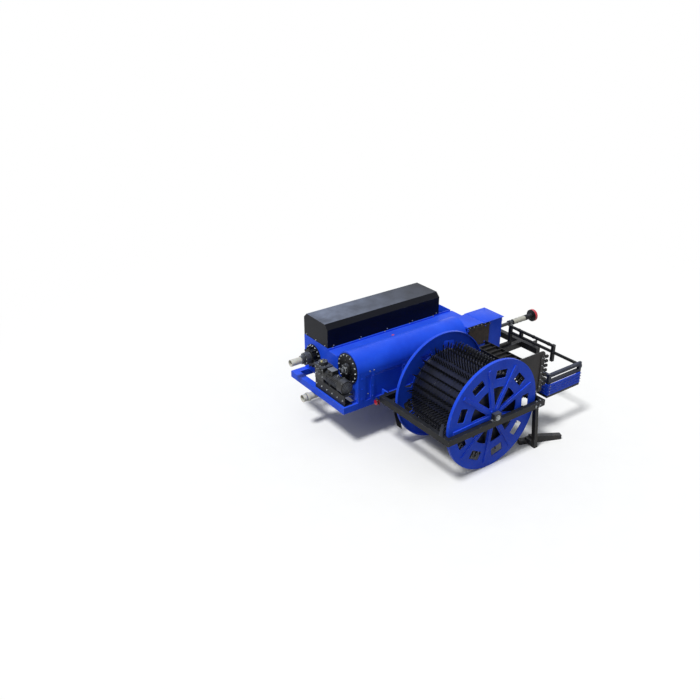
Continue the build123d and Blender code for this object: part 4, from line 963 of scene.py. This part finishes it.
class HARVESTER_OT_guide_fittings(bpy.types.Operator):
    """Slat bolts, end caps, post clamp bolts and the scraper's bolts"""
    bl_idname = "harvester.guide_fittings"
    bl_label = "Guide and ground bar"

    def execute(self, context):
        guide_low, guide_high = low("guide_frame"), high("guide_frame")
        slat_low, slat_high = low("guide_slats"), high("guide_slats")
        slat_z = [slat_low.z + 0.018 + i * (slat_high.z - slat_low.z - 0.036) / 3 for i in range(4)]
        places = [((x, slat_low.y, z), -Y) for x in (guide_low.x + 0.023, guide_high.x - 0.023) for z in slat_z]
        fasten("slat_bolts", places, "base", 0.011, 0.006)
        caps = [plate((x - 0.018, guide_low.y + 0.005, guide_high.z - 0.001), (x + 0.018, guide_low.y + 0.041,
                                                                              guide_high.z + 0.004), 0.0015)
                for x in (guide_low.x + 0.023, guide_high.x - 0.023)]
        finish_as(caps, "guide_tube_caps", "black_polythene_sleeve", "base")
        clamp_z = (0.80, 0.70)
        places = [((x, low("guide_post").y - 0.001, z), -Y) for x in (0.135, 0.205) for z in clamp_z]
        fasten("post_clamp_bolts", places, "pickup", 0.016, 0.010)
        rib = low("scraper")
        places = row_places((rib.x + 0.03, low("scraper").y, high("scraper").z - 0.04),
                            (high("scraper").x - 0.03, low("scraper").y, high("scraper").z - 0.04), 3, -Y)
        fasten("scraper_bolts", places, "pickup", 0.014, 0.008)
        return {"FINISHED"}


class HARVESTER_OT_front_fittings(bpy.types.Operator):
    """Pin collars, linch pins, bolts, clamps and weld beads of the headstock and the guard tubes"""
    bl_idname = "harvester.front_fittings"
    bl_label = "Headstock and guard"

    def execute(self, context):
        head_low, head_high = low("headstock"), high("headstock")
        pins_low, pins_high = low("link_pins"), high("link_pins")
        pin = middle("link_pins")
        collars, linches = [], []
        for y, side in ((pins_low.y, 1), (pins_high.y, -1)):
            collars.append(collar(at_y(pin, y + side * 0.088), at_y(pin, y + side * 0.096), 0.026, 0.0115))
            at = y + side * 0.010
            linches.append(collar((pin.x - 0.003, at, pin.z - 0.016), (pin.x + 0.003, at, pin.z - 0.016),
                                  0.021, 0.004, 28))
            linches.append(soften(bar((pin.x, at, pin.z + 0.022), (pin.x, at, pin.z - 0.026), 0.0045, 10),
                                  0.001))
        finish_as(collars, "link_pin_collars", "turned_steel_shaft", "base")
        finish_as(linches, "linch_pins", "zinc_plated_steel", "base")
        lines = []
        for y in (head_low.y + 0.002, head_high.y - 0.002):
            lines.append(((head_high.x - 0.115, y, 0.66), (head_high.x - 0.03, y, 0.66)))
        lines += [((1.066, y, 0.657), (1.066, y + 0.08, 0.657)) for y in (0.17, 0.83)]
        weld("headstock_welds", lines, "base", "black_chassis_enamel")
        places = [((1.0, y, 0.656), Z) for y in (0.18, 0.24, 0.84, 0.90)]
        fasten("headstock_bolts", places, "base", 0.022, 0.012)
        clamps = []
        guard_x = high("front_guard").x - 0.024
        for y in (-0.55, -0.25, 0.05):
            clamps.append(collar((guard_x, y - 0.014, 0.965), (guard_x, y + 0.014, 0.965), 0.0275, 0.006))
        finish_as(clamps, "guard_clamps", "black_chassis_enamel", "base")
        return {"FINISHED"}


class HARVESTER_OT_drive_shaft_fittings(bpy.types.Operator):
    """Sleeve, guard rings, joint forks and ribbed cone of the drive shaft"""
    bl_idname = "harvester.drive_shaft_fittings"
    bl_label = "Drive shaft"

    def execute(self, context):
        shaft = middle("pto_shaft")

        def ring(start, end, radius, wall):
            return collar(at_x(shaft, start), at_x(shaft, end), radius, wall)

        sleeve = [ring(1.586, 1.852, 0.0435, 0.004)]
        sleeve += [ring(x, x + 0.012, 0.047, 0.006) for x in (1.588, 1.674, 1.754, 1.838)]
        finish_as(sleeve, "guard_sleeve", "stone_polythene_sleeve", "drive_shaft")
        cone = [ring(x, x + 0.009, 0.047 - 0.0008 * i, 0.010) for i, x in enumerate(
            (1.868, 1.894, 1.920, 1.946, 1.972, 1.998))]
        finish_as(cone, "cone_ribs", "black_polythene_sleeve", "drive_shaft")
        cup = [ring(2.0275, 2.0725, 0.1008, 0.004), ring(2.029, 2.034, 0.0985, 0.055)]
        finish_as(cup, "red_guard_cup", "red_polythene_guard", "drive_shaft")
        joints = []
        for centre in (1.1465, 1.5165):
            for out in (Y, Z):
                at = at_x(shaft, centre)
                joints.append(soften(bar(at - 0.047 * out, at + 0.047 * out, 0.013, 20), 0.002))
                joints.append(soften(bar(at - 0.049 * out, at + 0.049 * out, 0.006, 6), 0.001))
        finish_as(joints, "joint_crosses", "turned_steel_shaft", "drive_shaft")
        forks = []
        for start, end in ((1.124, 1.169), (1.494, 1.539)):
            forks.append(ring(start, start + 0.008, 0.0455, 0.006))
            forks.append(ring(end - 0.008, end, 0.0455, 0.006))
        finish_as(forks, "joint_fork_rims", "dark_cast_iron", "drive_shaft")
        return {"FINISHED"}


class HARVESTER_OT_wheels(bpy.types.Operator):
    """Tyres with block tread, and rims with nuts, hub cap and valve"""
    bl_idname = "harvester.wheels"
    bl_label = "Wheels"

    def execute(self, context):
        depth = context.scene.harvester_sizes.tread_depth
        for side_name, side in (("left", 1), ("right", -1)):
            tyre_low, tyre_high = low("tyre_" + side_name), high("tyre_" + side_name)
            centre = (tyre_low + tyre_high) / 2
            radius = (tyre_high.z - tyre_low.z) / 2 - 0.0003
            half = (tyre_high.y - tyre_low.y) / 2
            carcass = bar(centre - half * Y, centre + half * Y, radius - depth, 96)
            hole = radius / 2 + 0.001
            pick(carcass, lambda at, normal: abs(normal.y) > 0.9)
            bpy.ops.mesh.inset(thickness=radius - depth - hole, use_individual=True)
            bpy.ops.mesh.bridge_edge_loops()
            bpy.ops.object.mode_set(mode="OBJECT")
            soften(carcass, 0.024, 5, 60)
            block_piece = block((-0.018, -0.021, -0.006), (0.018, 0.021, depth - 0.0004))
            soften(block_piece, 0.003, 1)
            places = []
            for row in range(4):
                y = centre.y + (row - 1.5) * 0.046
                for i in range(36):
                    a = 2 * math.pi * (i + 0.5 * (row % 2)) / 36
                    out = Vector((math.cos(a), 0, math.sin(a)))
                    places.append((at_y(centre, y) + (radius - depth) * out, out))
            tread = repeat(block_piece, places, "tread")
            tyre = finish_as([carcass, tread], side_name + "_tyre_with_tread", "tyre_rubber",
                             "wheel_" + side_name)
            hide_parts("tyre_" + side_name)
            body = "wheel_" + side_name
            face = centre.y + side * 0.045
            fasten(side_name + "_wheel_nuts",
                   ring_places(at_y(centre, centre.y + side * 0.004), side * Y, 0.085, 5), body, 0.019, 0.014)
            cap = bar(at_y(centre, face - side * 0.003), at_y(centre, face + side * 0.026), 0.038, 32)
            finish_as([soften(cap, 0.008, 4)], side_name + "_hub_cap", "zinc_plated_steel", body)
            valve = soften(bar((centre.x + 0.105, centre.y + side * 0.02, centre.z),
                               (centre.x + 0.105, centre.y + side * 0.06, centre.z), 0.004, 12), 0.001)
            finish_as([valve], side_name + "_valve", "black_nitrile_rubber", body)
        return {"FINISHED"}


class HARVESTER_OT_jack_fittings(bpy.types.Operator):
    """Crank, clamp plates and foot weld of the parking jack"""
    bl_idname = "harvester.jack_fittings"
    bl_label = "Parking jack"

    def execute(self, context):
        tube_low, tube_high = low("jack_tube"), high("jack_tube")
        mid = middle("jack_tube")
        top = tube_high.z
        head = plate((tube_low.x - 0.004, tube_low.y - 0.004, top - 0.03),
                     (tube_high.x + 0.004, tube_high.y + 0.004, top + 0.006), 0.003)
        finish_as([head], "jack_head", "black_chassis_enamel", "base")
        crank = rod([(mid.x, tube_high.y - 0.004, top - 0.045), (mid.x, tube_high.y + 0.05, top - 0.045),
                     (mid.x, tube_high.y + 0.055, top - 0.19), (mid.x, tube_high.y + 0.13, top - 0.19)],
                    0.007)
        finish_as([crank], "jack_crank", "zinc_plated_steel", "base")
        grip = soften(bar((mid.x, tube_high.y + 0.075, top - 0.19), (mid.x, tube_high.y + 0.145, top - 0.19),
                          0.013, 20), 0.004)
        finish_as([grip], "jack_grip", "black_polythene_sleeve", "base")
        foot = middle("jack_leg")
        lines = [((foot.x - 0.03, foot.y + dy, 0.016), (foot.x + 0.03, foot.y + dy, 0.016))
                 for dy in (-0.030, 0.030)]
        weld("jack_foot_welds", lines, "jack", "zinc_plated_steel")
        return {"FINISHED"}


class HARVESTER_OT_frame_fittings(bpy.types.Operator):
    """Bolts and weld beads of the base frame and axle"""
    bl_idname = "harvester.frame_fittings"
    bl_label = "Base frame"

    def execute(self, context):
        frame_low, frame_high = low("base_frame"), high("base_frame")
        top = 0.655
        lines = []
        for x in (frame_low.x + 0.1, frame_high.x - 0.1):
            for y in (0.132, 1.402):
                lines.append(((x, y, top), (x, y + 0.091, top)))
        for x in (frame_low.x + 0.25,):
            lines += [((x, 0.235, top + 0.001), (x, 0.32, top + 0.001)),
                      ((x, 1.1, top + 0.001), (x, 1.3, top + 0.001))]
        weld("frame_welds", lines, "base", "blue_enamel_on_steel")
        axle = middle("axle_beam")
        places = []
        for y in (low("axle_beam").y + 0.29, high("axle_beam").y - 0.29):
            places += [((axle.x + dx, y, 0.556), -Z) for dx in (-0.03, 0.03)]
        fasten("axle_bolts", places, "base", 0.022, 0.012)
        return {"FINISHED"}


class HARVESTER_OT_stage(bpy.types.Operator):
    """Pale floor, soft lamps and the camera"""
    bl_idname = "harvester.stage"
    bl_label = "Stage and camera"

    def execute(self, context):
        scene = context.scene
        let_go()
        bpy.ops.mesh.primitive_circle_add(vertices=96, radius=220.0, fill_type="NGON", location=(0, 0, 0))
        floor = settle(context.object)
        floor.name = "studio_floor"
        floor.data.materials.append(pale_floor(tuple(scene.harvester_colours.floor) + (1.0,)))
        scene.world = soft_sky()
        let_go()
        towards = Vector((-0.42, -0.08, 0.90))
        bpy.ops.object.light_add(type="SUN", rotation=towards.to_track_quat("Z", "Y").to_euler())
        key = context.object
        key.name = "key_lamp"
        key.data.energy = 2.7
        key.data.angle = math.radians(12)
        bpy.ops.object.camera_add(location=CAMERA_AT,
                                  rotation=(math.pi / 2 - CAMERA_DOWN, 0, CAMERA_TURN - math.pi / 2))
        camera = context.object
        camera.name = "photo_camera"
        camera.data.sensor_width = 36.0
        camera.data.lens = CAMERA_LENS
        camera.data.clip_end = 1000.0
        scene.camera = camera
        scene.view_settings.view_transform = "Standard"
        return {"FINISHED"}


# Camera that was fitted to the object's corners in the photograph
CAMERA_AT = (-7.243, -7.345, 6.137)
CAMERA_TURN = 0.947
CAMERA_DOWN = 0.464
CAMERA_LENS = 772.9 / 700 * 36.0


def unseen_share(tree):
    """1 for rays that show the backdrop: from the camera, in gloss and through glass."""
    path = add_node(tree, "ShaderNodeLightPath")
    first = add_node(tree, "ShaderNodeMath",
                     {0: path.outputs["Is Camera Ray"], 1: path.outputs["Is Glossy Ray"]},
                     operation="MAXIMUM")
    return add_node(tree, "ShaderNodeMath", {0: first.outputs[0], 1: path.outputs["Is Transmission Ray"]},
                    operation="MAXIMUM").outputs[0]


GROUND = linear("#8d8b86")


def pale_floor(colour):
    """Matt pale floor that keeps the shadow and fades to white far from the machine."""
    material, tree, shader, coords = start_material("matt_studio_floor")
    speck = add_node(tree, "ShaderNodeMix", {0: patches(tree, coords, 400, 4.0, 0.3, 0.7), 6: colour,
                                             7: tuple(v * 0.985 for v in colour[:3]) + (1.0,)},
                     data_type="RGBA").outputs[2]
    # the light that it throws back on the machine is that of bare ground
    speck = add_node(tree, "ShaderNodeMix", {0: unseen_share(tree), 6: GROUND, 7: speck},
                     data_type="RGBA").outputs[2]
    tree.links.new(speck, shader.inputs["Base Color"])
    shader.inputs["Roughness"].default_value = 0.9
    shader.inputs["Specular IOR Level"].default_value = 0.1
    white = add_node(tree, "ShaderNodeEmission", {"Color": (1, 1, 1, 1), "Strength": 1.0})
    reach = add_node(tree, "ShaderNodeVectorMath", {0: coords.outputs["Object"]}, operation="LENGTH")
    far = add_node(tree, "ShaderNodeMapRange", {0: reach.outputs["Value"], 1: 3.5, 2: 9.0})
    share = add_node(tree, "ShaderNodeMath", {0: far.outputs[0], 1: unseen_share(tree)}, operation="MULTIPLY")
    mixed = add_node(tree, "ShaderNodeMixShader",
                     {0: share.outputs[0], 1: shader.outputs[0], 2: white.outputs[0]})
    output = next(node for node in tree.nodes if node.bl_idname == "ShaderNodeOutputMaterial")
    tree.links.new(mixed.outputs[0], output.inputs["Surface"])
    return material


def soft_sky():
    """Even soft light; what the camera sees of it is white."""
    world = bpy.data.worlds.new("soft_sky")
    world.use_nodes = True
    tree = world.node_tree
    tree.nodes.clear()
    light = add_node(tree, "ShaderNodeBackground", {"Color": linear("#f1f4fa"), "Strength": 0.4})
    seen = add_node(tree, "ShaderNodeBackground", {"Color": (1, 1, 1, 1), "Strength": 1.0})
    both = add_node(tree, "ShaderNodeMixShader",
                    {0: unseen_share(tree), 1: light.outputs[0], 2: seen.outputs[0]})
    add_node(tree, "ShaderNodeOutputWorld", {"Surface": both.outputs[0]})
    return world


STEPS = [HARVESTER_OT_finishes, HARVESTER_OT_tines, HARVESTER_OT_disc_fittings,
         HARVESTER_OT_end_plate_fittings, HARVESTER_OT_pump_fittings, HARVESTER_OT_drive_fittings,
         HARVESTER_OT_body_fittings, HARVESTER_OT_far_body_fittings,
         HARVESTER_OT_front_box_fittings, HARVESTER_OT_pickup_fittings,
         HARVESTER_OT_belt_fittings, HARVESTER_OT_guide_fittings, HARVESTER_OT_front_fittings,
         HARVESTER_OT_drive_shaft_fittings, HARVESTER_OT_wheels, HARVESTER_OT_jack_fittings,
         HARVESTER_OT_frame_fittings, HARVESTER_OT_stage]


class HARVESTER_PT_steps(bpy.types.Panel):
    """The steps that dress the harvester, with its colours and sizes"""
    bl_idname = "HARVESTER_PT_steps"
    bl_label = "Harvester"
    bl_space_type = "VIEW_3D"
    bl_region_type = "UI"
    bl_category = "Harvester"

    def draw(self, context):
        layout = self.layout
        for group in (context.scene.harvester_colours, context.scene.harvester_sizes):
            for name in group.__annotations__:
                layout.prop(group, name)
        for step in STEPS:
            layout.operator(step.bl_idname)


CLASSES = [HarvesterColours, HarvesterSizes, *STEPS, HARVESTER_PT_steps]


def register():
    for kind in CLASSES:
        bpy.utils.register_class(kind)
    bpy.types.Scene.harvester_colours = bpy.props.PointerProperty(type=HarvesterColours)
    bpy.types.Scene.harvester_sizes = bpy.props.PointerProperty(type=HarvesterSizes)


def unregister():
    del bpy.types.Scene.harvester_sizes
    del bpy.types.Scene.harvester_colours
    for kind in reversed(CLASSES):
        bpy.utils.unregister_class(kind)


def main():
    register()
    for step in STEPS:
        group, name = step.bl_idname.split(".")
        getattr(getattr(bpy.ops, group), name)()


if __name__ == "__main__":
    main()
